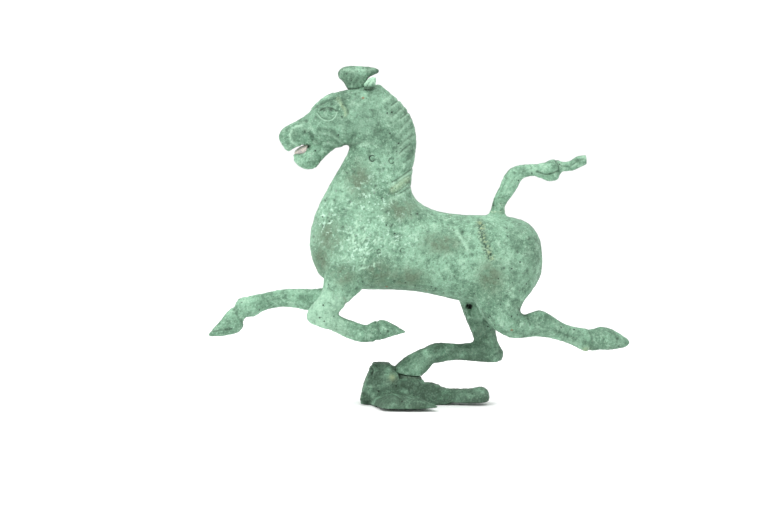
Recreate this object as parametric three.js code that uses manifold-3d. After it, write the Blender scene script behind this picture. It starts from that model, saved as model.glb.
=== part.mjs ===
// A patinated bronze horse at the flying pace, balanced with one hind hoof on a swallow.
// The statuette is an assembly: two hollow body shells joined on the midline, a hollow head,
// four leg castings, tail, ears, forelock and the swallow, held by dowels, solder and an iron rod.
//
// Frame: millimetres, +Z up. The swallow stands on z = 0, the horse faces -X and its left side
// faces -Y. The origin is on the ground under the middle of the statuette.
//
// Every casting is drawn as a row of ribs, the way a boat is. A rib is one flat cross-section:
// [x and z of its upper or outer edge, x and z of its lower or inner edge, y of its middle,
// half-width across, egg]. Egg moves the widest place towards the first edge (+) or the second (-).
// The ribs draw a horse of the drawing size below and are stretched to the wanted size.

import * as THREE from "three";
import { mergeVertices } from "three/addons/utils/BufferGeometryUtils.js";
import Module from "manifold-3d";

const wasm = await Module();
wasm.setup();

// ---------------------------------------------------------------- sizes

const horseLength = 210.5; // toe of the right foreleg to toe of the left hind leg
const horseHeight = 169; // ground to the top of the forelock
const bodyWidth = 49; // over the haunches

const drawing = { length: 210.5, height: 169, width: 49 };

const swallowYaw = THREE.MathUtils.degToRad(-6.5); // the swallow flies a little to the right

const shellWall = 3; // bronze of the hollow body
const headWall = 2.6;
const seamGap = 0.3; // between the two body shells
const jointGap = 0.3; // solder line between any two castings

const dowelRadius = 1.9;
const dowelReach = 7.5; // how far a dowel goes into each of its castings
const tailDowelReach = 5.2;
const forelockPinRadius = 1.4;
const rodRadius = 1.5; // iron rod through the leg that carries the horse
const pinClearance = 0.3; // around every dowel, rod and plug
const ventRadius = 1.3; // open core vent in the groin
const sleeveWall = 1.8; // ring that keys the head to the neck

const rightWingLift = 2; // the right wing's tip stands higher than the left one's
const nutAcrossFlats = 7;
const nutHeight = 2.6;
const nutCover = 0.5; // from the ground up to the nut
const nutPocketClearance = 0.8;

const collarRadius = 4.8; // solder round the root of the tail
const collarHeight = 2;

const sides = { body: 24, limb: 12, hollow: 14, pin: 10 }; // of a cross-section

const stretch = new THREE.Vector3(
  horseLength / drawing.length,
  bodyWidth / drawing.width,
  horseHeight / drawing.height,
);
const place = (x, y, z) => new THREE.Vector3(x, y, z).multiply(stretch);

// ---------------------------------------------------------------- solids

// A closed three.js geometry as a manifold-3d solid with its faces pointing out.
function solidOf(geometry) {
  const bare = geometry.index ? geometry.toNonIndexed() : geometry.clone();
  bare.deleteAttribute("normal");
  bare.deleteAttribute("uv");
  const merged = mergeVertices(bare, 1e-3);
  const corners = new Uint32Array(merged.index.array);
  const p = merged.attributes.position;
  const [a, b, c] = [new THREE.Vector3(), new THREE.Vector3(), new THREE.Vector3()];
  let volume = 0;
  for (let i = 0; i < corners.length; i += 3) {
    a.fromBufferAttribute(p, corners[i]);
    b.fromBufferAttribute(p, corners[i + 1]);
    c.fromBufferAttribute(p, corners[i + 2]);
    volume += a.dot(b.cross(c));
  }
  if (volume < 0) {
    for (let i = 0; i < corners.length; i += 3) {
      [corners[i + 1], corners[i + 2]] = [corners[i + 2], corners[i + 1]];
    }
  }
  return new wasm.Manifold(
    new wasm.Mesh({ numProp: 3, vertProperties: p.array, triVerts: corners }),
  );
}

// A named mesh of a solid. Crumbs that a cut leaves beside the piece are dropped.
function meshOf(name, solid, material) {
  const piece = solid.decompose().sort((a, b) => b.volume() - a.volume())[0];
  const raw = piece.getMesh();
  const geometry = new THREE.BufferGeometry();
  geometry.setAttribute("position", new THREE.BufferAttribute(raw.vertProperties, 3));
  geometry.setIndex(new THREE.BufferAttribute(raw.triVerts, 1));
  geometry.computeVertexNormals();
  const mesh = new THREE.Mesh(geometry, material);
  mesh.name = name;
  return mesh;
}

const join = (...solids) => solids.reduce((whole, next) => whole.add(next));
const cut = (solid, ...tools) => tools.reduce((rest, tool) => rest.subtract(tool), solid);
const UP = new THREE.Vector3(0, 1, 0);

// A round pin from one point to another.
function pin(from, to, radius, corners = sides.pin) {
  const axis = to.clone().sub(from);
  const geometry = new THREE.CylinderGeometry(radius, radius, axis.length(), corners);
  geometry.applyQuaternion(
    new THREE.Quaternion().setFromUnitVectors(UP, axis.clone().normalize()),
  );
  geometry.translate(...from.clone().add(to).multiplyScalar(0.5).toArray());
  return solidOf(geometry);
}

// All the space past a flat face through a point, on the side that the direction points to.
function beyond(point, direction) {
  const size = 4 * horseLength;
  const geometry = new THREE.BoxGeometry(size, size, size).translate(0, size / 2, 0);
  geometry.applyQuaternion(
    new THREE.Quaternion().setFromUnitVectors(UP, direction.clone().normalize()),
  );
  geometry.translate(...point.toArray());
  return solidOf(geometry);
}

const curveOf = (points) => new THREE.CatmullRomCurve3(points, false, "catmullrom", 0.5);

// A casting drawn by ribs. Places along it are counted in ribs: 0 is the first rib, 2.5 is half
// way from the third to the fourth. Settle moves the finished shape to where it belongs.
class Casting {
  constructor(ribs, { fullness = 1, settle = (geometry) => geometry } = {}) {
    this.last = ribs.length - 1;
    this.outer = curveOf(ribs.map(([x, z, , , y]) => place(x, y, z)));
    this.inner = curveOf(ribs.map(([, , x, z, y]) => place(x, y, z)));
    this.girth = curveOf(
      ribs.map(([, , , , , half, egg = 0]) => new THREE.Vector3(half * stretch.y, egg, 0)),
    );
    this.fullness = fullness;
    this.settle = settle;
  }

  rib(at) {
    const t = THREE.MathUtils.clamp(at / this.last, 0, 1);
    const outer = this.outer.getPoint(t);
    const inner = this.inner.getPoint(t);
    const { x: half, y: egg } = this.girth.getPoint(t);
    return {
      centre: outer.clone().add(inner).multiplyScalar(0.5),
      up: outer.sub(inner).multiplyScalar(0.5),
      half,
      egg,
    };
  }

  centre(at) {
    return this.rib(at).centre;
  }

  direction(at) {
    return this.centre(at + 0.4).sub(this.centre(at - 0.4)).normalize();
  }

  // The stretch of the casting between two ribs, with its skin moved inwards by inset.
  solid({ from = 0, to = this.last, inset = 0, rings = 2, corners = sides.limb } = {}) {
    const count = Math.max(2, Math.round((to - from) * rings));
    const blank = new THREE.CylinderGeometry(1, 1, 1, corners, count);
    const p = blank.attributes.position;
    for (let i = 0; i < p.count; i++) {
      const reach = Math.min(1, Math.hypot(p.getX(i), p.getZ(i)));
      const angle = Math.atan2(p.getX(i), p.getZ(i));
      const { centre, up, half, egg } = this.rib(from + (to - from) * (p.getY(i) + 0.5));
      const side = Math.sign(Math.sin(angle)) * Math.abs(Math.sin(angle)) ** this.fullness;
      const skin = up.multiplyScalar(Math.cos(angle) + egg * Math.sin(angle) ** 2);
      skin.y += half * side;
      const shrink = Math.max(0.1, 1 - inset / Math.max(skin.length(), 1e-6));
      p.setXYZ(i, ...centre.addScaledVector(skin, shrink * reach).toArray());
    }
    return solidOf(this.settle(blank));
  }
}

// ---------------------------------------------------------------- the drawing

const trunk = new Casting(
  [
    [62.6, 76.5, 62.6, 70.5, 0, 4, 0],
    [61.4, 82.9, 61.7, 64.1, 0, 13, 0],
    [57.9, 89.2, 58.4, 58.1, 0, 19.5, 0.05],
    [52.4, 92.6, 53.9, 54.1, 0, 23, 0.05],
    [44.4, 94.2, 46.4, 51.7, 0, 24.5, 0],
    [34.4, 94.9, 36.4, 50.7, 0, 23.5, 0],
    [23.4, 95.1, 23.4, 51.5, 0, 22.3, 0],
    [12.4, 96.4, 11.4, 54.3, 0, 22.8, -0.05],
    [4.4, 99.3, 1.4, 56.3, 0, 23.2, -0.1],
    [-0.4, 103.3, -10.6, 57.5, 0, 23.2, -0.15],
    [-2.4, 107.3, -25.6, 57.6, 0, 22.6, -0.2],
    [-2.4, 111.8, -39.6, 59.1, 0, 21.5, -0.22],
    [-1.8, 117.2, -49.1, 65.6, 0, 19.5, -0.25],
    [-0.8, 123.2, -53.1, 79.5, 0, 17, -0.22],
    [0.2, 130.1, -50.4, 95.4, 0, 14.4, -0.15],
    [-0.6, 138.6, -43.6, 109.3, 0, 12.4, -0.1],
    [-4.6, 147, -37.2, 120.2, 0, 11.3, 0],
    [-10.6, 153.4, -34.1, 126.2, 0, 10.8, 0],
    [-18.1, 159.4, -33.2, 129.6, 0, 10.4, 0],
  ],
  { fullness: 0.85 },
);
const throatRib = trunk.last;

const leftForeleg = new Casting([
  [-45.2, 70.3, -20.5, 64.4, -10, 9],
  [-46.1, 62.3, -26.9, 58.4, -14, 8.5],
  [-47.5, 56, -31.8, 54.1, -15.5, 6.8],
  [-50.9, 52, -35.5, 50.2, -16, 5.9],
  [-53.9, 47.8, -38.3, 47.3, -16, 5.3],
  [-53.7, 43, -37.8, 46.1, -16, 5],
  [-48, 40.3, -36.2, 45.3, -15.8, 4.7],
  [-41.1, 37.7, -32.8, 43.9, -15.4, 4.2],
  [-33.3, 34.3, -28.8, 42.3, -15, 4.2],
  [-27.4, 32.5, -24.6, 41.3, -14.8, 4.5],
  [-21.5, 32.7, -21, 43.1, -14.6, 4.8],
  [-15.6, 34.4, -16.7, 43.8, -14.4, 5],
  [-10.6, 35.9, -12.1, 42, -14.3, 4.1],
  [-7.7, 36.9, -8, 39.6, -14.2, 2.4],
  [-5.6, 37.4, -5.6, 38, -14.2, 0.8],
]);

const rightForeleg = new Casting([
  [-30, 73, -20.5, 63.5, 8.5, 9.5],
  [-42, 62.6, -40.5, 48.5, 12, 8.3],
  [-48.6, 57.1, -48.1, 45.9, 13.3, 6.4],
  [-55.7, 56.8, -55.7, 45.7, 13.5, 5.4],
  [-63.3, 56.9, -63.3, 47.2, 13.2, 4.9],
  [-71.4, 55.8, -70.4, 47.1, 12.8, 4.5],
  [-78.5, 54.4, -76.9, 45.5, 12.3, 4.3],
  [-85, 53.1, -82, 42.4, 12, 4.6],
  [-89.9, 51.8, -86, 42.3, 11.8, 4.6],
  [-92.1, 48.3, -87.1, 40.5, 11.7, 4.2],
  [-95.2, 45.8, -87.4, 38.1, 11.6, 4.8],
  [-98.7, 41.5, -89.5, 34.8, 11.5, 5.4],
  [-102, 37.5, -95.6, 33.1, 11.5, 4.6],
  [-104.3, 34.8, -100.7, 32.6, 11.5, 2.8],
  [-105.2, 33.3, -104, 32.5, 11.5, 0.8],
]);

const leftHindLeg = new Casting([
  [31, 75, 56.5, 78, -8.5, 10.5],
  [27.3, 60.7, 58.9, 61.2, -12.5, 11.5],
  [29.2, 51, 54.2, 54.9, -14, 9.8],
  [34.1, 43.2, 51.6, 49.7, -14.5, 8],
  [40.1, 37.7, 51.9, 47.4, -14.5, 6.8],
  [46.5, 34.7, 53.7, 46.7, -14.3, 6],
  [52.4, 34.6, 56.8, 47.5, -14, 5.4],
  [58.3, 35.1, 60.8, 48.7, -13.8, 5],
  [64.2, 34.8, 65.7, 46.5, -13.6, 4.6],
  [70.2, 33.3, 71.2, 42.8, -13.4, 4.1],
  [76.1, 31.3, 77.1, 40.4, -13.2, 4],
  [80.6, 28.8, 83, 39.4, -13, 4.3],
  [84.5, 27.9, 87, 39.2, -13, 4.5],
  [90.9, 28.4, 90.9, 40.3, -12.8, 5],
  [96.9, 28.7, 96.9, 38.9, -12.6, 5],
  [101.8, 29.6, 101.3, 36.2, -12.5, 3.9],
  [104.4, 30.8, 104.3, 33.9, -12.5, 2.3],
  [105.3, 31.9, 105.3, 32.6, -12.5, 0.8],
]);

const rightHindLeg = new Casting([
  [25.5, 68, 50.5, 73, 8.5, 10.5],
  [21.2, 54.5, 45.2, 56.5, 12.5, 10],
  [23.4, 46.5, 42.6, 47.5, 12.5, 8],
  [25.6, 40.5, 40.9, 40.5, 11.5, 6.6],
  [28.1, 35.1, 40.6, 35.1, 10.5, 5.7],
  [29.2, 31.3, 41.8, 29.7, 9.3, 5.3],
  [28.8, 30.5, 44.3, 24.8, 8.2, 5.2],
  [27.7, 30, 43.1, 20.5, 7.5, 5],
  [25.7, 29.8, 36.8, 19.7, 6.8, 4.7],
  [22.6, 29.6, 29.7, 20.5, 6, 4.3],
  [19.1, 29.8, 22.6, 21.2, 5, 4.1],
  [14, 30.3, 16, 21, 4, 4.1],
  [9, 30.2, 11.5, 20, 3, 4.3],
  [4.4, 28.5, 8.8, 20, 2.2, 4.3],
  [-0.1, 26.4, 6.6, 17.1, 1.5, 4.5],
  [-4.6, 24, 4.7, 15.4, 1, 5],
  [-8.4, 21.4, 3.6, 14.6, 0.5, 5.5],
  [-11, 18.5, 3.2, 14.2, 0, 5.8],
  [-11.6, 16.1, 3, 13.8, 0, 5.7],
]);

const tailDrawing = new Casting([
  [35.6, 91.4, 45.8, 89.9, 0, 4.4],
  [36.3, 95.6, 44.8, 94.4, 0, 4.2],
  [37.3, 97.9, 43.9, 97.4, 0, 3.6],
  [37.9, 100.8, 44.8, 100.1, 0, 3.4],
  [39.5, 105, 47.2, 103.5, 0, 3.4],
  [41.7, 109.5, 50.4, 108.3, 0, 3.5],
  [43.6, 114.2, 52.4, 112.1, 0, 3.5],
  [46.8, 118, 54.6, 113.5, 0, 3.4],
  [51, 119.7, 57.4, 114, 0, 3.2],
  [56.4, 120.2, 60.9, 113.8, 0, 3.2],
  [62.4, 120.2, 64.4, 112.6, 0, 3.8],
  [66.9, 122.4, 67.4, 111.7, 0, 4.4],
  [70.7, 122.1, 70.7, 112.7, 0, 4.1],
  [72.7, 121.4, 72.4, 116.2, 0, 2.9],
  [76.4, 121.7, 76.9, 116.6, 0, 2.6],
  [80.4, 124.2, 81.4, 118.4, 0, 2.8],
  [84.4, 124.7, 84.8, 120.2, 0, 2.4],
]);

const skull = new Casting(
  [
    [-18.1, 159.4, -33.2, 129.6, 0, 10.4],
    [-25.1, 158.5, -34.6, 129.1, 0, 10.8],
    [-31.6, 157.6, -37.1, 128.6, 0, 10.9],
    [-38.1, 156.3, -40.1, 128.4, 0, 10.3, -0.1],
    [-44.1, 154, -44.1, 129.4, 0, 9.2, 0.05],
    [-49.1, 150.3, -48.6, 130.1, 0, 7.9, 0.1],
    [-53.6, 145.7, -52.6, 130.1, 0, 6.7],
    [-58.6, 142.3, -56.6, 129.4, 0, 6.3, -0.1],
    [-63.1, 139.9, -59.6, 128.7, 0, 6.7, -0.15],
    [-66.6, 137.7, -62.1, 127.2, 0, 5.9, -0.1],
    [-68.5, 134.4, -63.9, 126.5, 0, 4.3],
    [-68.2, 131.9, -65.2, 127.6, 0, 2.2],
  ],
  { fullness: 0.85 },
);

const jaw = new Casting(
  [
    [-38.6, 137.1, -39.6, 128.4, 0, 6.2],
    [-43.6, 133.1, -43.1, 126, 0, 5.7],
    [-48.6, 131.6, -47.3, 121.9, 0, 5.2],
    [-53.1, 130.1, -49.9, 118.4, 0, 4.9],
    [-56.1, 126.2, -53.9, 117.5, 0, 4.9],
    [-58.9, 125.6, -58.1, 118.8, 0, 4.4],
    [-61, 124.6, -60.8, 121.4, 0, 2.8],
  ],
  { fullness: 0.85 },
);

const tongueDrawing = new Casting([
  [-53.8, 127.9, -53.8, 126.4, 0, 1.6],
  [-55.6, 127.8, -55.6, 126.1, 0, 2.6],
  [-58.1, 127.4, -58.1, 126, 0, 2.7],
  [-60.2, 126.6, -60.2, 126, 0, 1.6],
]);

const forelockDrawing = new Casting([
  [-32.6, 156.6, -26.2, 157.2, 0, 2.9],
  [-33.8, 158.1, -25.6, 158.7, 0, 3.3],
  [-35.6, 160.4, -24.8, 161.5, 0, 3.8],
  [-37.8, 162.9, -22.6, 163.7, 0, 4.1],
  [-38.4, 165.4, -19, 165.3, 0, 3.7],
  [-36.6, 167.9, -18.9, 167.3, 0, 2.4],
  [-33.1, 168.9, -23.6, 168.4, 0, 0.8],
]);

// The outline of the throat joint, from a little way down the neck to a little way into the head.
const throatSleeve = new Casting(
  [
    [-13.6, 155.8, -34, 127.6, 0, 10.7],
    [-18.1, 159.4, -33.2, 129.6, 0, 10.4],
    [-22.4, 159, -33.9, 129.3, 0, 10.6],
  ],
  { fullness: 0.85 },
);

// An ear leans back from the poll beside the forelock's root. Side is -1 for the left one.
const earDrawing = (side) =>
  new Casting([
    [-26.1, 157.2, -21, 156.6, side * 5.4, 2],
    [-26, 159.6, -20.5, 159, side * 5.8, 2.3],
    [-24.6, 161.6, -20, 161.2, side * 6.1, 1.9],
    [-22.2, 163.2, -20, 163, side * 6.3, 0.8],
  ]);

// Solder that filled a casting fault on the left haunch.
const patchDrawing = new Casting([
  [31.2, 91, 33.4, 90.6, -20, 12],
  [31.2, 87, 34.4, 87, -20, 12],
  [32.2, 81, 36.2, 81, -20, 12],
  [33.4, 77.4, 36.4, 77.4, -20, 12],
  [34.6, 75.4, 36, 75.4, -20, 12],
]);

// The rod's foot is also the place that the swallow is turned about.
const rodFoot = place(-4, 0, 0).setZ(nutCover);

function turnSwallow(geometry) {
  return geometry.translate(-rodFoot.x, 0, 0).rotateZ(swallowYaw).translate(rodFoot.x, 0, 0);
}

const swallowBody = new Casting(
  [
    [-27.6, 4, -27.6, -3, 0, 4.5],
    [-24.8, 9, -24.8, -5, 0, 7.5],
    [-18.8, 12, -18.8, -6, 0, 9.5],
    [-10.8, 12.4, -10.8, -6, 0, 10.2],
    [-2.8, 12, -2.8, -6, 0, 9.6],
    [3.2, 11.2, 3.2, -5, 0, 7.8],
    [8.2, 9.4, 8.2, -3, 0, 6.4],
    [14.2, 8.2, 14.2, -1.5, 0, 5.8],
    [21, 7.8, 21, -1, 0, 5.9],
    [27.5, 8.2, 27.5, -1, 0, 6.5],
    [32.5, 9.1, 32.5, -0.6, 0, 6.3],
    [35.6, 7.8, 35.6, 0.4, 0, 4.4],
    [36.6, 5.6, 36.6, 2.6, 0, 1.6],
  ],
  { fullness: 0.8, settle: turnSwallow },
);

// The swallow's head is thrown back, so that it looks up at the hoof.
const swallowHead = new Casting(
  [
    [-28, 1.5, -10.8, 1.5, 0, 8.5],
    [-27.6, 6.5, -11.8, 7, 0, 8],
    [-26, 11.5, -12.6, 12, 0, 7],
    [-24, 16, -12.8, 16.2, 0, 6],
    [-22.2, 19.2, -12.8, 19, 0, 4.7],
    [-19.8, 20.7, -14, 20.4, 0, 2.6],
  ],
  { fullness: 0.8, settle: turnSwallow },
);

// Sections of a wing from the body out to the tip:
// [x and y of its leading edge, x and y of its trailing edge, top, edge and bottom height].
const wingSections = [
  [-25.6, 2.5, 2, 2.5, 9.5, 1, -1.5],
  [-24.4, 6.4, 2, 7, 8, 1, -1.2],
  [-20.7, 12.7, 4, 11.5, 7.2, 1, -1],
  [-17.8, 20.4, 7, 16, 6.8, 1, -0.8],
  [-13.7, 28.5, 9.5, 20, 6.6, 1.1, -0.4],
  [-4, 29.4, 11.3, 22.6, 6.2, 1.5, -0.1],
  [6, 28.2, 12.6, 24.8, 5.2, 2.2, 0.6],
  [12.8, 26.8, 13, 26, 3.8, 3, 2.2],
];

// A wing is a blade with a flat underside. Side is -1 for the left one, and lift raises its tip.
function wing(side, lift) {
  const leading = curveOf(wingSections.map(([x, y]) => place(x, side * y, 0)));
  const trailing = curveOf(wingSections.map(([, , x, y]) => place(x, side * y, 0)));
  const heights = curveOf(wingSections.map(([, , , , ...z]) => new THREE.Vector3(...z)));
  const blank = new THREE.CylinderGeometry(1, 1, 1, sides.limb, 2 * wingSections.length);
  const p = blank.attributes.position;
  for (let i = 0; i < p.count; i++) {
    const t = p.getY(i) + 0.5;
    const [across, up] = [p.getX(i), p.getZ(i)];
    const { x: top, y: edge, z: bottom } = heights.getPoint(t).multiplyScalar(stretch.z);
    const spot = leading.getPoint(t).lerp(trailing.getPoint(t), 0.5 + 0.5 * across);
    spot.z = edge + (up > 0 ? up * (top - edge) : up * (edge - bottom)) + lift * t * t;
    p.setXYZ(i, ...spot.toArray());
  }
  return solidOf(turnSwallow(blank));
}

// Solder between the sole of the hoof and the swallow's back.
const hoofPad = new Casting([
  [-10.4, 15.5, 2.6, 13.5, 0, 4.9],
  [-10.8, 13.4, 3.2, 11.8, 0, 5.4],
  [-11, 10.6, 3.8, 9, 0, 5.8],
]);

// ---------------------------------------------------------------- limbs and their dowels

// The rib at which each limb meets the body. The body keeps the stub above it.
const shoulderRib = 1.35;
const chestRib = 1.75;
const stifleRib = 3;
const groinRib = 3;
const croupRib = 1.2;

// One limb: the stub that stays on the body, the casting itself, the dowel across the joint and
// the hole that takes it.
function limb(drawn, at, reach = dowelReach) {
  const middle = drawn.centre(at);
  const direction = drawn.direction(at);
  const along = (distance) => middle.clone().addScaledVector(direction, distance);
  const body = beyond(along(-jointGap / 2), direction.clone().negate());
  const outside = beyond(along(jointGap / 2), direction);
  return {
    along,
    stub: drawn.solid({ to: at + 0.6 }).intersect(body),
    casting: drawn.solid({ from: at - 0.6 }).intersect(outside),
    dowel: pin(along(-reach), along(reach), dowelRadius),
    hole: pin(
      along(-reach - pinClearance),
      along(reach + pinClearance),
      dowelRadius + pinClearance,
    ),
  };
}

const leftFore = limb(leftForeleg, shoulderRib);
const rightFore = limb(rightForeleg, chestRib);
const leftHind = limb(leftHindLeg, stifleRib);
const rightHind = limb(rightHindLeg, groinRib);
const tail = limb(tailDrawing, croupRib, tailDowelReach);

// The iron rod follows the middle of the carrying leg, from inside the body to under the swallow.
const rodPath = new THREE.CatmullRomCurve3(
  [
    ...[2, 3, 4, 5, 6.3, 8.6, 10, 11.5, 13, 14.2, 15.2, 16.2].map((at) => rightHindLeg.centre(at)),
    place(-4, 0, 13),
    place(-4, 0, 7),
    rodFoot,
  ],
  false,
  "centripetal",
);
function bentRod(radius) {
  const section = new THREE.Shape();
  section.absarc(0, 0, radius, 0, 2 * Math.PI);
  const options = { extrudePath: rodPath, steps: 36, curveSegments: 4, bevelEnabled: false };
  return solidOf(new THREE.ExtrudeGeometry(section, options));
}
const rod = bentRod(rodRadius);
const rodHole = bentRod(rodRadius + pinClearance);

// ---------------------------------------------------------------- body shells

const trunkGrown = trunk.solid({ corners: sides.body, inset: -jointGap });
const trunkHollow = trunk.solid({ from: 1, corners: sides.hollow, rings: 1, inset: shellWall });

// The open vent that let the core out, in the groin on the inside of the carrying leg.
const vent = pin(place(26.2, -4, 43.6), place(28.6, 16, 57), ventRadius);

const bodyWalls = cut(
  join(
    trunk.solid({ corners: sides.body }),
    leftFore.stub,
    rightFore.stub,
    leftHind.stub,
    rightHind.stub,
    tail.stub,
  ),
  trunkHollow,
  leftFore.hole,
  rightFore.hole,
  leftHind.hole,
  tail.hole,
  rodHole,
  vent,
);

// Core pins left holes through the wall, and a bronze plug fills each: [name, x, z, radius].
const plugSpots = [
  ["neck_plug_front", -21.8, 123.2, 1.4],
  ["neck_plug_rear", -12.3, 122, 1.25],
  ["flank_plug_front", -18.5, 78, 0.9],
  ["flank_plug_rear", -7, 78.5, 1],
];
const bodySides = [
  ["left", -1],
  ["right", 1],
];
const plugs = bodySides.flatMap(([word, side]) =>
  plugSpots.map(([name, x, z, radius]) => {
    const bore = (r) => pin(place(x, side * 3, z), place(x, side * 40, z), r);
    return {
      name: `${word}_${name}`,
      solid: bodyWalls.intersect(bore(radius)),
      hole: bore(radius + pinClearance),
    };
  }),
);
const patchHole = patchDrawing.solid({ corners: sides.pin, inset: -jointGap });
const drilledWalls = cut(bodyWalls, patchHole, ...plugs.map((plug) => plug.hole));
const shell = (side) =>
  drilledWalls.intersect(
    beyond(new THREE.Vector3(0, (side * seamGap) / 2, 0), new THREE.Vector3(0, side, 0)),
  );

// ---------------------------------------------------------------- tail root and forelock

const tailCollar = cut(
  pin(tail.along(-0.5), tail.along(collarHeight), collarRadius * stretch.x, sides.hollow),
  tailDrawing.solid({ to: 3, inset: -jointGap }),
  trunkGrown,
);

const forelockFoot = place(-29.8, 0, 150.8);
const forelockTop = place(-29.8, 0, 163);
const forelockPin = pin(forelockFoot, forelockTop, forelockPinRadius);
const forelockHole = pin(
  forelockFoot.clone().setZ(forelockFoot.z - pinClearance),
  forelockTop.clone().setZ(forelockTop.z + pinClearance),
  forelockPinRadius + pinClearance,
);

// ---------------------------------------------------------------- head

const throat = trunk.centre(throatRib);
const throatDirection = trunk
  .rib(throatRib)
  .up.cross(UP)
  .normalize();
const headSide = beyond(throat.clone().addScaledVector(throatDirection, jointGap), throatDirection);
const headGrown = join(
  skull.solid({ corners: sides.body, inset: -jointGap }),
  jaw.solid({ corners: sides.hollow, inset: -jointGap }),
);
const head = cut(
  join(skull.solid({ corners: sides.body }), jaw.solid({ corners: sides.hollow })).intersect(headSide),
  skull.solid({ to: 4.6, corners: sides.hollow, rings: 1, inset: headWall }),
  forelockHole,
);

// A ring inside the throat joint keys the head to the neck. Its bore is cut past both its ends.
const ringInset = shellWall + 2 * pinClearance;
const throatRing = cut(
  throatSleeve.solid({ from: 0.2, to: 1.8, corners: sides.hollow, inset: ringInset }),
  throatSleeve.solid({ corners: sides.hollow, inset: ringInset + sleeveWall }),
);

// ---------------------------------------------------------------- swallow and carrying leg

const carryingLeg = cut(rightHind.casting, trunkGrown, rodHole);
const carryingLegGrown = rightHindLeg.solid({ from: 8, inset: -jointGap });

const nutSpace = (from, to, radius, corners) =>
  pin(rodFoot.clone().setZ(from), rodFoot.clone().setZ(to), radius, corners);
const nutRadius = nutAcrossFlats / Math.sqrt(3);
const nut = nutSpace(nutCover, nutCover + nutHeight, nutRadius, 6);
const nutPocket = nutSpace(
  -nutCover,
  nutCover + nutHeight + jointGap,
  nutRadius + nutPocketClearance,
  sides.hollow,
);
const underground = beyond(new THREE.Vector3(), new THREE.Vector3(0, 0, -1));
const swallow = cut(
  join(swallowBody.solid(), swallowHead.solid(), wing(-1, 0), wing(1, rightWingLift)),
  underground,
  nutPocket,
  rodHole,
  carryingLegGrown,
);
const hoofSolder = cut(
  hoofPad.solid(),
  swallowBody.solid({ inset: -jointGap }),
  swallowHead.solid({ inset: -jointGap }),
  rodHole,
);

// ---------------------------------------------------------------- materials

const finish = (color, roughness, metalness) =>
  new THREE.MeshStandardMaterial({ color, roughness, metalness });
const patina = finish(0x7fae93, 0.85, 0.15);
const darkPatina = finish(0x5b8770, 0.85, 0.15);
const solder = finish(0xa9c7a0, 0.8, 0.1);
const filler = finish(0xa8a67c, 0.9, 0.1);
const tonguePutty = finish(0xb3a9a4, 0.8, 0);
const rawBronze = finish(0x8c6a3c, 0.45, 0.9);
const iron = finish(0x5a3a2a, 0.9, 0.6);

// ---------------------------------------------------------------- assembly

const statuette = new THREE.Group();
const add = (name, solid, material) => statuette.add(meshOf(name, solid, material));

add("left_body_shell", shell(-1), patina);
add("right_body_shell", shell(1), patina);
for (const plug of plugs) add(plug.name, plug.solid, darkPatina);
const patchInWall = patchDrawing.solid({ corners: sides.pin });
add("haunch_patch", bodyWalls.intersect(patchInWall), filler);

add("left_foreleg", cut(leftFore.casting, trunkGrown, leftFore.hole), patina);
add("left_foreleg_dowel", leftFore.dowel, rawBronze);
add("right_foreleg", cut(rightFore.casting, trunkGrown, rightFore.hole), patina);
add("right_foreleg_dowel", rightFore.dowel, rawBronze);
add("left_hind_leg", cut(leftHind.casting, trunkGrown, leftHind.hole), patina);
add("left_hind_leg_dowel", leftHind.dowel, rawBronze);
add("right_hind_leg", carryingLeg, darkPatina);
add("support_rod", rod, iron);

add("tail", cut(tail.casting, trunkGrown, tail.hole), patina);
add("tail_dowel", tail.dowel, rawBronze);
add("tail_solder", tailCollar, solder);

add("head", head, patina);
add("throat_ring", throatRing, rawBronze);
add("tongue", cut(tongueDrawing.solid({ corners: sides.pin }), headGrown), tonguePutty);
add("forelock", cut(forelockDrawing.solid(), headGrown, forelockHole), patina);
add("forelock_pin", forelockPin, rawBronze);
for (const [word, side] of bodySides) {
  const ear = earDrawing(side).solid({ corners: sides.pin });
  add(`${word}_ear`, cut(ear, headGrown, trunkGrown), patina);
}

add("swallow", swallow, darkPatina);
add("rod_nut", cut(nut, rodHole), iron);
add("hoof_solder", hoofSolder, solder);

export default statuette;
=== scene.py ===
# %% [markdown]
# # A bronze horse that flies on the back of a swallow
#
# The statuette is a set of castings: two body shells, a head, four legs, a tail, a forelock,
# two ears and the swallow, joined with dowels and solder and grown over with green patina.
# The castings arrive here as plain solids in their true places. This lesson gives them their
# skin: the muscles, the face, the mane, the casting marks and the colours of old bronze.

import math
import random

import bmesh
import bpy
import numpy as np
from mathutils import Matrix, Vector, noise
from mathutils.bvhtree import BVHTree


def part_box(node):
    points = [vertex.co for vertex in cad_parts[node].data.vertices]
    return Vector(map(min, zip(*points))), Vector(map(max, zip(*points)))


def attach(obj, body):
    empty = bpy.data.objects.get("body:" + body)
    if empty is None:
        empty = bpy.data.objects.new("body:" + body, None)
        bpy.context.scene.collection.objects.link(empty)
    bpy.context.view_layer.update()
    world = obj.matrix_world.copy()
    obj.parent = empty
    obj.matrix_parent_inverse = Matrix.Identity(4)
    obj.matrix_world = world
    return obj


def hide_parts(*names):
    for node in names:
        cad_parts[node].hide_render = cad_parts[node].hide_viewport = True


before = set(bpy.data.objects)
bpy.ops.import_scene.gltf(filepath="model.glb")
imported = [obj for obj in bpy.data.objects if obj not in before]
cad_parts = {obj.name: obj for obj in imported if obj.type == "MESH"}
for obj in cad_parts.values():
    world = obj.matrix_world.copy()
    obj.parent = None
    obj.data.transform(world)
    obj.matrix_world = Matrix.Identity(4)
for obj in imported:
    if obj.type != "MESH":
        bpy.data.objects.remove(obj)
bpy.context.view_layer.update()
MM = 0.001
print(len(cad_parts), "castings and fittings")

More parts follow.
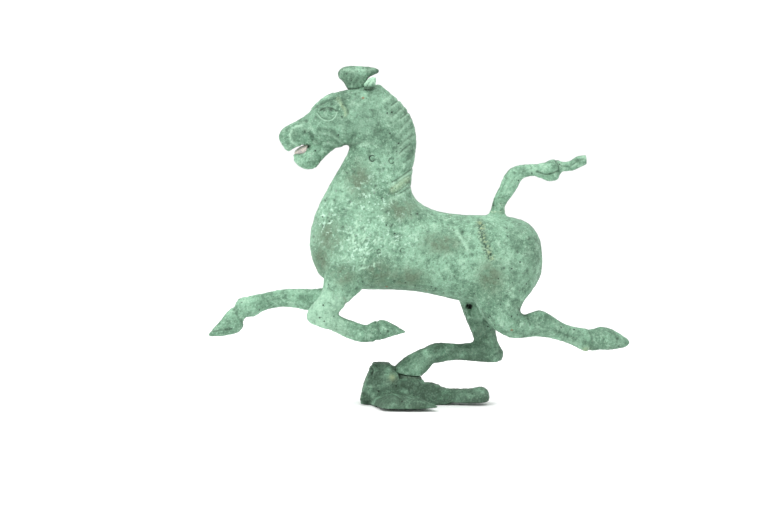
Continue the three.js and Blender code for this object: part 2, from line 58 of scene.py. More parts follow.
# %% [markdown]
# ## From castings to one skin
#
# Solder and corrosion have closed the joints of the real horse, so its skin runs on from the
# body into the legs. A sculptor would join the blanks and then model over the joins, and we do
# the same: copies of the castings are swollen a little so that they meet, and a voxel remesh
# wraps them in one even net of small squares. The loose blanks themselves stay untouched.

# %% Gather copies of the castings
SWELL = 0.45 * MM
NET = 0.45 * MM


def gather(*names):
    """Merged copies of some castings in one bmesh."""
    blank = bmesh.new()
    for name in names:
        blank.from_mesh(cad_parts[name].data)
    bmesh.ops.remove_doubles(blank, verts=blank.verts, dist=0.01 * MM)
    blank.normal_update()
    return blank


def swell(blank, distance):
    """Moves the skin of a blank outwards."""
    blank.normal_update()
    for vert, normal in [(v, v.normal.copy()) for v in blank.verts]:
        vert.co += normal * distance


def wrap(name, blank, net=NET):
    """A mesh of even squares around everything in a blank."""
    mesh = bpy.data.meshes.new(name)
    blank.to_mesh(mesh)
    blank.free()
    piece = bpy.data.objects.new(name, mesh)
    bpy.context.scene.collection.objects.link(piece)
    remesh = piece.modifiers.new("wrap", "REMESH")
    remesh.mode = "VOXEL"
    remesh.voxel_size = net
    remesh.use_smooth_shade = True
    wrapped = bpy.data.meshes.new_from_object(
        piece.evaluated_get(bpy.context.evaluated_depsgraph_get())
    )
    bpy.data.objects.remove(piece)
    bpy.data.meshes.remove(mesh)
    wrapped.name = name
    print(name, "wrapped in", len(wrapped.polygons), "squares")
    return wrapped


# %% [markdown]
# ## Holes
#
# The rod and the forelock's pin pass through the skin, and the vent is open. A skin wrapped
# round the blanks would creep in there, so each hole gets a stopper first.

# %% Close the holes that a skin would fall into
def stopper(blank, foot, top, radius):
    """A round plug between two places, for a hole that stays open inside the casting."""
    axis = Vector(top) - Vector(foot)
    made = bmesh.ops.create_cone(
        blank,
        cap_ends=True,
        segments=16,
        radius1=radius * MM,
        radius2=radius * MM,
        depth=axis.length * MM,
    )
    turn = axis.to_track_quat("Z", "Y").to_matrix()
    bmesh.ops.rotate(blank, verts=made["verts"], matrix=turn)
    middle = (Vector(foot) + Vector(top)) / 2
    bmesh.ops.translate(blank, verts=made["verts"], vec=middle * MM)


SIDES = ("left", "right")
SKIN_CASTINGS = (
    "left_body_shell",
    "right_body_shell",
    "head",
    "left_foreleg",
    "right_foreleg",
    "left_hind_leg",
    "right_hind_leg",
    "tail",
)
PLUGS = [f"{side}_{spot}" for side in SIDES for spot in (
    "neck_plug_front", "neck_plug_rear", "flank_plug_front", "flank_plug_rear")]
HIDDEN = (
    "left_foreleg_dowel",
    "right_foreleg_dowel",
    "left_hind_leg_dowel",
    "tail_dowel",
    "throat_ring",
)
VENT_FOOT = (26.2, -4, 43.6)
VENT_TOP = (28.6, 16, 57)
HOOF_SOLE = 14.6
VENT_RADIUS = 1.5
HEAD_TOP = 157.2

blank = gather(*SKIN_CASTINGS, *PLUGS, "haunch_patch", *HIDDEN)


def add_shortened(blank, name, height, away):
    """Adds a copy of a fitting, cut off level at a height. Away is 1 to lose its top."""
    fitting = gather(name)
    cut = bmesh.ops.bisect_plane(
        fitting,
        geom=fitting.verts[:] + fitting.edges[:] + fitting.faces[:],
        plane_co=(0, 0, height * MM),
        plane_no=(0, 0, away),
        clear_outer=True,
    )
    rim = [e for e in cut["geom_cut"] if isinstance(e, bmesh.types.BMEdge)]
    bmesh.ops.holes_fill(fitting, edges=rim)
    mesh = bpy.data.meshes.new(name)
    fitting.to_mesh(mesh)
    fitting.free()
    blank.from_mesh(mesh)
    bpy.data.meshes.remove(mesh)


add_shortened(blank, "support_rod", HOOF_SOLE, -1)
add_shortened(blank, "forelock_pin", HEAD_TOP, 1)
swell(blank, SWELL)
stopper(blank, VENT_FOOT, VENT_TOP, VENT_RADIUS)
skin = wrap("horse_skin", blank)

# %% [markdown]
# ## Clay
#
# A sculptor in wax works with a few moves: smooth, push, scratch, press. Blender's sculpt mode
# has the same brushes, but a script can't hold a brush. So the skin's points are taken out as
# arrays of numbers, and each brush becomes a small function that moves all points at once by
# how near they are to its stroke. Places are in millimetres, x and z as seen from the side.

# %% The clay and its smoothing
class Clay:
    """The points of a mesh as arrays, in millimetres, with brushes that move them."""

    def __init__(self, mesh):
        self.mesh = mesh
        self.count = len(mesh.vertices)
        self.at = self.read(mesh.vertices, "co", 3) / MM
        pairs = np.empty(len(mesh.edges) * 2, np.int32)
        mesh.edges.foreach_get("vertices", pairs)
        self.pairs = pairs.reshape(-1, 2)
        self.valence = np.bincount(pairs, minlength=self.count)
        self.paint = {}
        self.look()

    def read(self, points, name, width):
        values = np.empty(self.count * width, np.float32)
        points.foreach_get(name, values)
        return values.reshape(-1, width).astype(float)

    def look(self):
        """Writes the points to the mesh and finds which way the skin faces now."""
        self.mesh.vertices.foreach_set("co", (self.at * MM).astype(np.float32).ravel())
        self.mesh.update()
        self.normal = self.read(self.mesh.vertex_normals, "vector", 3)

    def smooth(self, times, where=None, keep=1.0):
        """Relaxes the skin. Keep of 1 holds thin limbs at their size, 0 lets them shrink."""
        weight = np.ones(self.count) if where is None else where
        moving = weight > 0.01
        pairs = self.pairs[moving[self.pairs].any(1)]
        chosen, local = np.unique(pairs, return_inverse=True)
        a, b = local.reshape(-1, 2).T
        spot = self.at[chosen]
        share = np.where(moving, weight, 0)[chosen, None]
        valence = self.valence[chosen, None]
        for pull in (0.5, -0.5 * keep) * times:
            total = [
                np.bincount(a, c[b], len(chosen)) + np.bincount(b, c[a], len(chosen))
                for c in spot.T
            ]
            spot = spot + pull * share * (np.stack(total, 1) / valence - spot)
        self.at[chosen] = spot

    def push(self, distance):
        """Moves the skin outwards by a distance in millimetres, or inwards if it is negative."""
        self.at += self.normal * np.asarray(distance)[..., None]

    def mark(self, name, amount):
        """Remembers how strongly a colour or finish covers each point."""
        old = self.paint.get(name, np.zeros(self.count))
        self.paint[name] = np.maximum(old, amount)

    def flank(self, side):
        """1 on the left or the right flank and 0 on the other, soft at the midline."""
        if side is None:
            return np.ones(self.count)
        sign = -1 if side == "left" else 1
        return np.clip(0.5 + sign * self.at[:, 1] / 2, 0, 1)


def distance_to_path(points, path):
    """Distance from points to a bent line, both seen from the side."""
    path = np.asarray(path, float)
    nearest = np.full(len(points), np.inf)
    for a, b in zip(path[:-1], path[1:]):
        along = b - a
        share = np.clip((points - a) @ along / (along @ along), 0, 1)
        gap = points - (a + share[:, None] * along)
        nearest = np.minimum(nearest, np.hypot(*gap.T))
    return nearest


def curved(path, steps=6):
    """A bent line made smooth."""
    path = np.asarray(path, float)
    if len(path) < 3:
        return path
    ends = np.vstack([2 * path[0] - path[1], path, 2 * path[-1] - path[-2]])
    out = []
    for k in range(1, len(ends) - 2):
        a, b, c, d = ends[k - 1 : k + 3]
        for t in np.arange(steps) / steps:
            out.append(
                0.5 * (2 * b + (c - a) * t + (2 * a - 5 * b + 4 * c - d) * t**2
                       + (3 * b - a - 3 * c + d) * t**3)
            )
    out.append(path[-1])
    return np.array(out)


# %% [markdown]
# ## The brushes
#
# A stroke is a soft ridge or groove along a line, and a dab is a soft spot. Both fade out like
# a fingertip's press, which is why no edge shows where they end.

# %% Brushes
def side_view(clay):
    return clay.at[:, [0, 2]]


def stroke(clay, path, width, height, side=None, paint=None, strength=1.0):
    """Draws a rounded ridge along a path, or a groove where its height is negative."""
    line = curved(path)
    near = np.hypot(*(side_view(clay) - line.mean(0)).T)
    reach = np.hypot(*(line - line.mean(0)).T).max() + 3 * width
    chosen = np.flatnonzero(near < reach)
    amount = np.zeros(clay.count)
    gap = distance_to_path(side_view(clay)[chosen], line)
    amount[chosen] = np.exp(-((gap / width) ** 2)) * clay.flank(side)[chosen]
    clay.push(height * amount)
    if paint:
        clay.mark(paint, strength * amount)
    return amount


def dab(clay, centre, radius, height, side=None, paint=None, strength=1.0, hard=2.0):
    """Raises or presses a round spot. A hard edge has a high power."""
    gap = np.hypot(*(side_view(clay) - np.asarray(centre, float)).T)
    amount = np.exp(-((gap / radius) ** hard)) * clay.flank(side)
    clay.push(height * amount)
    if paint:
        clay.mark(paint, strength * amount)


def ring(centre, across, up, tilt=0, turns=(0, 360), corners=24):
    """Places on an ellipse, counted from the side that faces the tail."""
    angles = np.radians(np.linspace(*turns, corners))
    local = np.stack([across * np.cos(angles), up * np.sin(angles)], 1)
    c, s = math.cos(math.radians(tilt)), math.sin(math.radians(tilt))
    return local @ np.array([[c, s], [-s, c]]) + np.asarray(centre, float)


def cloudy(points, size, seed, octaves=3):
    """Soft random values between about -1 and 1, in clouds of a size in millimetres."""
    shift = Vector((seed * 17.3, seed * 5.1, seed * 9.7))
    return np.array(
        [noise.fractal(Vector(p) / size + shift, 1.0, 2.0, octaves) for p in points]
    )


# %% [markdown]
# ## A finer net for the face
#
# The eye and the lips need smaller squares than the barrel does. Only the head is divided
# again, so that the body stays light.

# %% Take the skin into clay, with a finer net over the head
def finer(mesh, choose):
    """Halves the squares whose corners are all chosen."""
    net = bmesh.new()
    net.from_mesh(mesh)
    edges = [e for e in net.edges if all(choose(v.co / MM) for v in e.verts)]
    bmesh.ops.subdivide_edges(net, edges=edges, cuts=1, use_grid_fill=True)
    net.to_mesh(mesh)
    net.free()
    mesh.update()


def on_head(place):
    return place.z > 116 and place.x < -22 - 0.3 * (place.z - 130)


FIRST_ROUNDS = 70
finer(skin, on_head)
clay = Clay(skin)
clay.push(np.full(clay.count, -SWELL / MM))
clay.smooth(FIRST_ROUNDS)
clay.look()
print("skin points", clay.count)

# %% [markdown]
# ## Muscles
#
# The horse is plump and smooth with its strength in the chest, the shoulders and the haunches.
# Where a limb grows out of the body, the blank has a corner, and the real skin has a full
# curve. Strong smoothing in just those places, with a little clay added, gives the curve and
# leaves the cannons and hooves as they are.

# %% Soften where the limbs grow out of the body
def near(clay, centre, radius):
    """1 at a place in space, falling softly to 0 past a radius."""
    gap = np.linalg.norm(clay.at - np.asarray(centre, float), axis=1)
    return np.clip(1.6 - 0.8 * gap / radius, 0, 1) ** 2


ROOTS = {
    "left_shoulder": (-36, -16, 60, 11),
    "right_shoulder": (-38, 13, 56, 12),
    "left_thigh": (44, -17, 60, 16),
    "right_thigh": (36, 15, 57, 14),
    "tail_root": (40, 0, 95, 6),
}
for name, (x, y, z, radius) in ROOTS.items():
    where = near(clay, (x, y, z), radius)
    clay.smooth(90, where, keep=0.75)
    print(name, "softened over", int((where > 0.5).sum()), "points")
throat_gap = distance_to_path(side_view(clay), [(-17.5, 160.6), (-33.8, 128.4)])
clay.smooth(50, np.clip(1.5 - throat_gap / 2.6, 0, 1), keep=1.0)
clay.look()

# %% [markdown]
# ## Full forms and hollows
#
# Muscles are broad and low, so they are pushed out over a wide reach, and the hollows between
# them are drawn as wide, shallow strokes.

# %% Add clay on the muscles and press the hollows between them
MUSCLES = [
    # x, y, z, radius, height
    (-40, -19, 78, 11, 0.9),
    (-40, 19, 78, 11, 0.9),
    (46, -21, 74, 13, 0.8),
    (46, 21, 74, 13, 0.8),
    (-46, -8, 84, 9, 0.5),
    (-46, 8, 84, 9, 0.5),
    (-2, -21, 80, 12, -0.5),
    (-2, 21, 80, 12, -0.5),
    (27, -23, 64, 7, -0.7),
    (27, 23, 64, 7, -0.7),
]
for x, y, z, radius, height in MUSCLES:
    clay.push(height * np.exp(-(np.linalg.norm(clay.at - (x, y, z), axis=1) / radius) ** 2))
clay.look()
# The raised line on the flank gets pale patina and a painted highlight along its ridge.
for side in SIDES:
    stroke(clay, [(-12.6, 88.6), (-7.7, 90.9), (-3, 92.6)], 1.3, -0.6, side)
    stroke(clay, [(-22, 92), (-24, 84), (-25, 76), (-29, 68)], 3.5, -0.45, side)
    stroke(clay, [(29, 78), (28, 70), (31, 62), (37, 57)], 3, -0.5, side)
    stroke(clay, [(-31, 62), (-27, 66.5), (-20, 64)], 1.6, -0.4, side)
    stroke(clay, [(19.6, 87.6), (22.6, 82.7), (25.5, 77.9)], 0.9, 0.3, side, "pale_crust_and_highlight", 0.7)
clay.look()

# %% [markdown]
# ## The head
#
# The head has a heavy brow, an almond eye with a raised rim, flared nostrils, ridged cheeks
# and an open mouth. All of it is low relief on a smooth form, so it is drawn in strokes on
# both sides of the head.

# %% Brow, eyes and ears' roots
EYE = (-44, 144.6)
LOWER_LID = [(-48.9, 145), (-46.6, 142.4), (-43.3, 141.5), (-40.4, 143), (-39, 146)]
UPPER_LID = [(-48.9, 145), (-46.6, 147.4), (-43, 147.9), (-39, 146)]
# Grooves round the brow and the eye are darkened with painted shade, and a black dab under the
# upper lid is painted shade; the lower lid's rim gets pale patina and a painted highlight, and the
# upper lid a darker tone.
for side in SIDES:
    stroke(clay, [(-51, 147.6), (-49.6, 150.6), (-46.5, 152.6), (-42, 154.6)], 1.3, 0.55, side)
    stroke(clay, [(-49.8, 148.6), (-46.8, 150.2), (-43.3, 151.8), (-38.8, 153.4)], 0.6, -0.5,
           side, "groove_shade", 0.6)
    dab(clay, EYE, 3.4, -0.35, side)
    stroke(clay, LOWER_LID, 0.38, 0.4, side, "pale_crust_and_highlight", 0.6)
    stroke(clay, UPPER_LID, 0.6, 0.6, side, "tone_and_painted_shade", 0.6)
    dab(clay, EYE, 1.9, 0.6, side)
    stroke(clay, [(px, pz + 0.9) for px, pz in LOWER_LID], 0.35, -0.22, side, "groove_shade", 0.3)
    stroke(clay, [(-47.6, 146.8), (-45, 148.2), (-42, 147.9), (-39, 146.2)], 0.45, -0.6, side,
           "groove_shade", 0.9)
    dab(clay, (-42.2, 147), 0.9, -0.35, side, "black_shade", 0.7)
    dab(clay, (-45.6, 147), 0.8, -0.2, side, "groove_shade", 0.9)
    stroke(clay, [(-38.7, 152.5), (-37.6, 150.4), (-36.4, 148.5), (-35.1, 146.6), (-35, 144.3)],
           0.9, 0.6, side, "filler", 0.45)
    stroke(clay, [(-37, 152.8), (-35.6, 150), (-34, 147.6), (-33.6, 145)], 0.6, -0.4, side,
           "groove_shade", 0.6)
clay.look()

dab(clay, (-19.4, 160.6), 1.8, 0.8, None, "dark", 0.5)
clay.look()

# %% [markdown]
# ## The muzzle
#
# Each nostril has a raised rim round a hollow, and the cheek has two ridges that run back to
# the jaw. They are strokes too, with the groove beside each ridge drawn after it.

# %% Nostrils, lips and cheeks
# Nostril hollows and the grooves beside the ridges are darkened with painted shade; the rims and
# ridges get pale patina and a painted highlight.
for side in SIDES:
    dab(clay, (-59.6, 134.4), 2.2, -0.7, side, "groove_shade", 0.35)
    stroke(clay, [(-56.6, 139.2), (-59.2, 138.4), (-61.3, 136.8), (-62.3, 134.5),
                  (-62, 132.4), (-60.6, 130.6), (-58.6, 130)], 0.75, 0.75, side, "pale_crust_and_highlight", 0.8)
    dab(clay, (-55.2, 136), 1.0, -1.0, side, "groove_shade", 0.9)
    stroke(clay, [(-51.5, 138), (-49, 134.4), (-45.8, 131.4), (-42.4, 130), (-39.5, 129.6)],
           0.8, 0.55, side, "pale_crust_and_highlight", 0.3)
    stroke(clay, [(-53, 136), (-50.8, 132.6), (-47.6, 129.8), (-44, 128.4)], 0.9, -0.5, side,
           "groove_shade", 0.4)
    stroke(clay, [(-47.8, 135.8), (-44.2, 135), (-41.2, 134.2), (-38.8, 132.6), (-36.8, 131)],
           0.7, 0.5, side, "pale_crust_and_highlight", 0.35)
    stroke(clay, [(-48, 137.8), (-44, 137), (-40.4, 136.2)], 0.8, -0.45, side, "groove_shade", 0.4)
    stroke(clay, [(-36.9, 131), (-33.4, 131.6), (-29.5, 132.8), (-26, 134.2)], 0.9, 0.5, side)
    stroke(clay, [(-36, 129), (-32, 129.6), (-28, 130.8)], 0.9, -0.5, side, "groove_shade", 0.5)
    stroke(clay, [(-57, 129.4), (-55, 128.8), (-53, 129.2)], 0.5, -0.5, side, "groove_shade", 0.7)
    stroke(clay, [(-65, 128), (-62.4, 129.2), (-59.6, 130.3), (-57, 130.6)], 0.6, 0.35, side,
           "pale_crust_and_highlight", 0.3)
    stroke(clay, [(-60.6, 124.6), (-58.5, 126), (-56, 127.2), (-54, 127.6)], 0.5, 0.3, side)
    stroke(clay, [(-52.5, 126), (-50.6, 124), (-49.6, 121.8)], 1.1, 0.35, side)
    stroke(clay, [(-66.5, 134), (-64.8, 132), (-63.8, 129.6)], 0.6, -0.3, side, "groove_shade", 0.3)
clay.look()

# %% [markdown]
# ## The mane
#
# A hogged mane runs down the back of the neck as a low crest. Its locks are cut into the wax
# with a slanting tool, and each cut crosses the outline as a small notch.

# %% Crest and locks
CREST = [(-19, 157.4), (-12.4, 150.4), (-7.4, 144), (-5.2, 136), (-5, 128), (-6, 119), (-7, 110)]
LOCKS = [
    # depth, then the cut from the neck up to the crest
    (0.35, [(-15.8, 152.6), (-13.4, 154.4), (-11.6, 156.4)]),
    (0.8, [(-12.2, 149.4), (-10, 151), (-7.6, 153)]),
    (0.4, [(-12.1, 143.6), (-9, 146.6), (-6, 149)]),
    (0.75, [(-7.6, 142.9), (-5.8, 144.4), (-3.4, 146.4)]),
    (0.35, [(-8.9, 136), (-5.8, 140.2), (-2.4, 143.2)]),
    (0.2, [(-5.8, 135), (-3.6, 137.2), (-1.4, 138.6)]),
    (0.3, [(-8.6, 129), (-4.8, 132.6), (-1, 135)]),
    (0.6, [(-8.4, 125.6), (-6.5, 127.4), (-3.2, 130)]),
    (0.35, [(-6, 121.3), (-3.4, 123), (-0.4, 125.4)]),
    (0.75, [(-11.8, 111.6), (-8.4, 113.6), (-1.8, 118.2)]),
    (0.5, [(-9.8, 105.1), (-6.9, 106.8), (-2.6, 109.2)]),
]
LEAF = [(-14.1, 105.7), (-10.6, 110.1), (-7.2, 112.8), (-3.3, 114.7), (-3.7, 111.6),
        (-6.7, 108.8), (-9.6, 106.7), (-14.1, 105.7)]
# The groove under the crest, the cuts of the locks and the outline of the leaf are darkened with
# painted shade; the lump under each cut gets pale patina and a painted highlight.
for side in SIDES:
    stroke(clay, CREST, 4.2, 0.35, side)
    stroke(clay, [(x - 5, z - 2.2) for x, z in CREST[1:-1]], 1.5, -0.2, side, "groove_shade", 0.15)
clay.look()
for depth, path in LOCKS:
    stroke(clay, path, 0.48, -0.55 * depth, None, "groove_shade", 0.1 + 0.7 * depth)
    stroke(clay, [(x - 0.3, z - 1.5) for x, z in path], 1.1, 0.25 * depth, None, "pale_crust_and_highlight", 0.35)
for side in SIDES:
    stroke(clay, LEAF, 0.5, -0.25, side, "groove_shade", 0.35)
    stroke(clay, [(-11.6, 107.8), (-8, 110.4), (-4.6, 112.8)], 1.6, 0.35, side, "filler", 0.45)
clay.look()

# %% [markdown]
# ## Marks of the foundry
#
# Small pins hold the clay core of a hollow casting while the metal runs in, and their plugs
# show as little discs. The rough strip on the left haunch looks like filler over a fault, and
# a hole like the one in the groin can let the core out. They are marks that a fingertip can
# feel, so they are in the shape.

# %% Core pins, filler and the vent
# The grooves round the core pins and a dent low on the left side are darkened with painted shade,
# and the groove round the front neck pin and a spot beside it are painted black as painted shade.
for x, z, radius in ((-21.8, 123.2, 1.4), (-12.3, 122, 1.25), (-18.5, 78, 0.9), (-7, 78.5, 1.0)):
    for side in SIDES:
        stroke(clay, ring((x, z), radius, radius, turns=(40, 330)), 0.3, -0.3, side, "groove_shade", 0.6)
stroke(clay, ring((-21.8, 123.2), 1.4, 1.4, turns=(60, 300)), 0.32, -0.2, "left", "black_shade", 0.75)
dab(clay, (-22.6, 123.8), 0.5, -0.2, "left", "black_shade", 0.5)
dab(clay, (-11, 63), 0.9, -0.7, "left", "groove_shade", 0.9)

SCAR = [(31.3, 91.4), (32.2, 86), (33.8, 80), (36, 75)]
scar = stroke(clay, SCAR, 1.8, 0.15, "left", "dark", 0.7)
rough = cloudy(clay.at[scar > 0.1], 1.3, 3)
bumps = np.zeros(clay.count)
bumps[scar > 0.1] = rough
clay.push(0.8 * scar * bumps)
clay.mark("filler", scar * np.clip(2 * bumps, 0, 1))
# The low bumps of the scar are darkened with painted shade.
clay.mark("groove_shade", scar * np.clip(-2.2 * bumps, 0, 1))

VENT = (26.9, 48.4)
mouth = np.exp(-((np.hypot(*(side_view(clay) - VENT).T) / 1.45) ** 4))
mouth *= (clay.at[:, 1] > 0) * (clay.at[:, 1] < 10) * (clay.normal[:, 1] < 0.1)
clay.at[:, 1] += 2.8 * mouth
# The inside of the vent is darkened and painted black as painted shade.
clay.mark("groove_shade", mouth)
clay.mark("black_shade", mouth)
print("vent pressed in at", int((mouth > 0.5).sum()), "points")
clay.look()

# %% [markdown]
# ## Legs, hooves and the knot of the tail
#
# The blanks already bend at the knees and hocks. Strokes add the tendons of the cannons, the
# step where hair meets hoof, the flat soles and the tail's knot with its crossing strands.

# %% Tendons, coronets and soles
TENDONS = {
    "left": [
        [(-44, 38.6), (-38, 37.6), (-31, 35.6)],
        [(62, 41), (70, 38), (78, 34.6)],
        [(44, 56), (50, 50), (56, 44), (62, 40.5)],
    ],
    "right": [
        [(-66, 52.4), (-73, 51.6), (-80, 49)],
        [(27, 26), (20, 26), (12, 26)],
        [(34, 42), (36, 34), (38, 28)],
    ],
}
CORONETS = {
    "left": [[(-19.6, 44), (-18.6, 38), (-20.4, 32)], [(84.6, 40), (86.4, 34), (85.4, 27.6)]],
    "right": [[(-92.6, 48), (-90.4, 43.6), (-87.4, 39.6)], [(5.4, 30), (1.2, 24), (-1.4, 17.6)]],
}
# The grooves of the legs, tendons and coronets, and the dents in the hooves, are darkened with
# painted shade.
for side in SIDES:
    for path in TENDONS[side]:
        stroke(clay, path, 0.9, -0.4, side, "groove_shade", 0.25)
    for path in CORONETS[side]:
        stroke(clay, path, 0.8, -0.4, side, "groove_shade", 0.35)
stroke(clay, [(-103, 35.3), (-98, 36.2), (-93, 37)], 0.5, -0.45, "right", "groove_shade", 0.5)
stroke(clay, [(-35.4, 55), (-34.4, 52.8), (-34.8, 50.6)], 0.7, -0.5, "left", "dark", 0.8)
stroke(clay, [(-40, 47), (-45, 46.6), (-50, 45.6)], 2.2, -0.25, "left")
dab(clay, (-14, 38.4), 0.8, -0.6, "left", "groove_shade", 0.9)
dab(clay, (99, 34.6), 0.8, -0.5, "left", "groove_shade", 0.8)
dab(clay, (83.4, 28.6), 1.6, 0.3, "left", "filler", 0.8)
stroke(clay, [(-47.5, 57), (-48.6, 60), (-47, 64)], 0.7, -0.6, "right", "groove_shade", 0.8)
clay.look()

# %% [markdown]
# ## The knot
#
# A knot reads as a knot when one strand crosses over another, so the crossings are grooves and
# the strands between them are pushed up.

# %% The knot and the strands of the tail
# The crossings and grooves of the knot are darkened with painted shade.
stroke(clay, [(60, 116.4), (64, 114.9), (68, 115.8), (70.6, 117)], 0.6, -0.7, None, "groove_shade", 0.7)
stroke(clay, [(69.4, 121.6), (70.6, 119.2), (70.8, 116.6)], 0.6, -0.6, None, "groove_shade", 0.8)
stroke(clay, [(61.6, 121), (64.6, 119), (68.6, 119)], 1.2, 0.5, None)
stroke(clay, [(61, 113.4), (65, 112.4), (69, 113.6)], 1.1, 0.45, None)
for shift in (-1.5, 1.3):
    stroke(clay, [(42 + shift, 103), (45 + shift, 110), (49 + shift, 115), (57, 117 + shift)],
           0.6, -0.18, None, "groove_shade", 0.15)
stroke(clay, [(72, 119.4), (76, 119.2), (80, 121.6), (83, 122.8)], 0.6, -0.4, None, "groove_shade", 0.4)
clay.look()

# %% [markdown]
# ## Corrosion
#
# Corrosion is relief as well as colour, though its depth doesn't tell how old the bronze is.
# Soft clouds of noise swell and eat the skin by a tenth of a millimetre or two, thin worm-like
# crusts stand on the shoulder, and pits are scattered everywhere. The crusts are marked pale, and
# each pit is darkened with painted shade.

# %% Swellings, pits and crusts
broad = cloudy(clay.at, 9, 1)
fine = cloudy(clay.at, 1.7, 2, 2)
clay.push(0.18 * broad + 0.15 * fine)
clay.look()

dice = random.Random(7)
for k in range(34):
    x, z = dice.gauss(-29, 6), dice.gauss(80, 7)
    turn = dice.uniform(-0.3, 1.9)
    step = dice.uniform(0.5, 1.5)
    bend = dice.uniform(-0.4, 0.4)
    path = [
        (x - step * math.cos(turn), z - step * math.sin(turn)),
        (x + bend * math.sin(turn), z - bend * math.cos(turn)),
        (x + step * math.cos(turn), z + step * math.sin(turn)),
    ]
    side = SIDES[k % 2] if k > 22 else "left"
    stroke(clay, path, dice.uniform(0.35, 0.6), 0.3, side, "pale_crust_and_highlight", dice.uniform(0.4, 1))
# Each pit is darkened with painted shade.
for k in range(110):
    x, z = dice.uniform(-60, 62), dice.uniform(58, 158)
    dab(clay, (x, z), dice.uniform(0.5, 0.9), -0.35, SIDES[k % 2], "groove_shade", 0.8)
clay.look()
print("paints:", sorted(clay.paint))

# %% [markdown]
# ## Notes for the painter
#
# The hollows are darkened with painted shade, and the points that stand proud are lightened with a
# painted highlight. A few rounds of smoothing show which points lie low and which stand proud.
# The parts also differ as a whole: the neck is deeper green, the hind legs and the lower body are
# darker towards the bottom, and the leg that stands on the swallow is nearly as dark as the
# swallow, partly from darker patina and partly from painted shade under the body.

# %% Painted shade in hollows, painted highlight on edges, and the tone of each part with its painted shade
def note_relief(clay, times=9, full=0.12):
    """Marks the points that lie in hollows, for painted shade, and those that stand proud, for a
    painted highlight.
    """
    clay.look()
    shape = clay.at.copy()
    clay.smooth(times)
    lift = ((clay.at - shape) * clay.normal).sum(1) / full
    clay.at = shape
    clay.mark("cavity_shade", np.clip(lift, 0, 1))
    clay.mark("edge", np.clip(-lift, 0, 1))


def soft_step(values, start, end):
    """0 before the start and 1 past the end, with an even slope between."""
    t = np.clip((values - start) / (end - start), 0, 1)
    return t * t * (3 - 2 * t)


# Painted shade in the hollows of the skin, and a painted highlight on its raised points.
note_relief(clay)
x, y, z = clay.at.T
# The leg that carries the horse is darker towards its foot: partly darker patina, partly painted
# shade under the body.
carrying = soft_step(z, 54, 36) * soft_step(y, -6, 0) * soft_step(x, -16, -10) * (x < 50)
tone_and_painted_shade = 0.75 * carrying
tone_and_painted_shade = np.maximum(tone_and_painted_shade, 0.42 * soft_step(z, 112, 134) * soft_step(x, -60, -38))
tone_and_painted_shade = np.maximum(tone_and_painted_shade, 0.3 * soft_step(z, 130, 140))
# The lower hind leg, the lower body and the lower hindquarters are darker towards the bottom.
tone_and_painted_shade = np.maximum(tone_and_painted_shade, 0.4 * soft_step(x, 50, 62) * soft_step(z, 62, 50))
tone_and_painted_shade = np.maximum(tone_and_painted_shade, 0.25 * soft_step(z, 66, 56) * soft_step(x, -34, -24))
tone_and_painted_shade = np.maximum(tone_and_painted_shade, 0.38 * soft_step(x, 36, 50) * soft_step(z, 100, 92))
clay.mark("tone_and_painted_shade", tone_and_painted_shade)

OLIVE = [(-43, 84, 6, 8), (-47, 74, 4, 7), (-19, 67, 7, 6), (-5, 65, 9, 5),
         (12, 82, 9, 5), (-8, 98, 8, 5), (-28, 112, 6, 8), (36, 66, 6, 8), (-36, 66, 6, 5)]
for px, pz, across, up in OLIVE:
    spread = ((x - px) / across) ** 2 + ((z - pz) / up) ** 2
    clay.mark("dark", np.minimum(1.25 * np.exp(-spread), 1))
clay.mark("pale_crust_and_highlight", 0.5 * soft_step(x, -30, -38) * soft_step(z, 62, 52) * (y < 0))
FLECKED = [(-28, 80, 12, 13), (-20, 102, 14, 14), (-44, 92, 7, 12), (-8, 84, 9, 6)]
for px, pz, across, up in FLECKED:
    spread = ((x - px) / across) ** 2 + ((z - pz) / up) ** 2
    clay.mark("fleck", np.exp(-spread))
print("marked", ", ".join(sorted(clay.paint)))

# %% [markdown]
# ## One piece for each casting
#
# The skin is one net so far, but the statuette is a set of castings. Every square goes to the
# casting that lies closest under it, and each set of squares is closed inside, where no one
# looks. The points along a joint keep the direction they had in the whole skin, so light runs
# over the joint without a step.

# %% Find the casting under each square
clay.look()


def nearest_casting(mesh, names):
    """For each face of a mesh, the number of the casting that lies closest to its middle."""
    corners, faces, owner = [], [], []
    for number, name in enumerate(names):
        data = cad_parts[name].data
        first = len(corners)
        corners += [v.co.copy() for v in data.vertices]
        faces += [[first + v for v in face.vertices] for face in data.polygons]
        owner += [number] * len(data.polygons)
    tree = BVHTree.FromPolygons(corners, faces)
    middles = np.empty(len(mesh.polygons) * 3, np.float32)
    mesh.polygons.foreach_get("center", middles)
    return np.array([owner[tree.find_nearest(m)[2]] for m in middles.reshape(-1, 3)])


casting_under = nearest_casting(skin, SKIN_CASTINGS)
print({name: int((casting_under == k).sum()) for k, name in enumerate(SKIN_CASTINGS)})


# %% [markdown]
# ## Closed pieces
#
# A cut through the skin leaves an open rim. Each rim is closed with a fan of faces that meet
# inside the metal, so every piece is solid and none of the fans can be seen.

# %% Cut the skin into closed pieces
def paint_on(mesh, clay):
    """Stores the painter's notes on the points of a mesh."""
    for name, amount in clay.paint.items():
        note = mesh.attributes.new(name, "FLOAT", "POINT")
        note.data.foreach_set("value", amount.astype(np.float32))


def show(name, mesh, nodes, material):
    """Puts a finished mesh in the scene in place of its CAD nodes."""
    piece = bpy.data.objects.new(name, mesh)
    bpy.context.scene.collection.objects.link(piece)
    mesh.materials.clear()
    mesh.materials.append(material)
    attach(piece, "root")
    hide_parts(*nodes)


LIP = 4 * MM


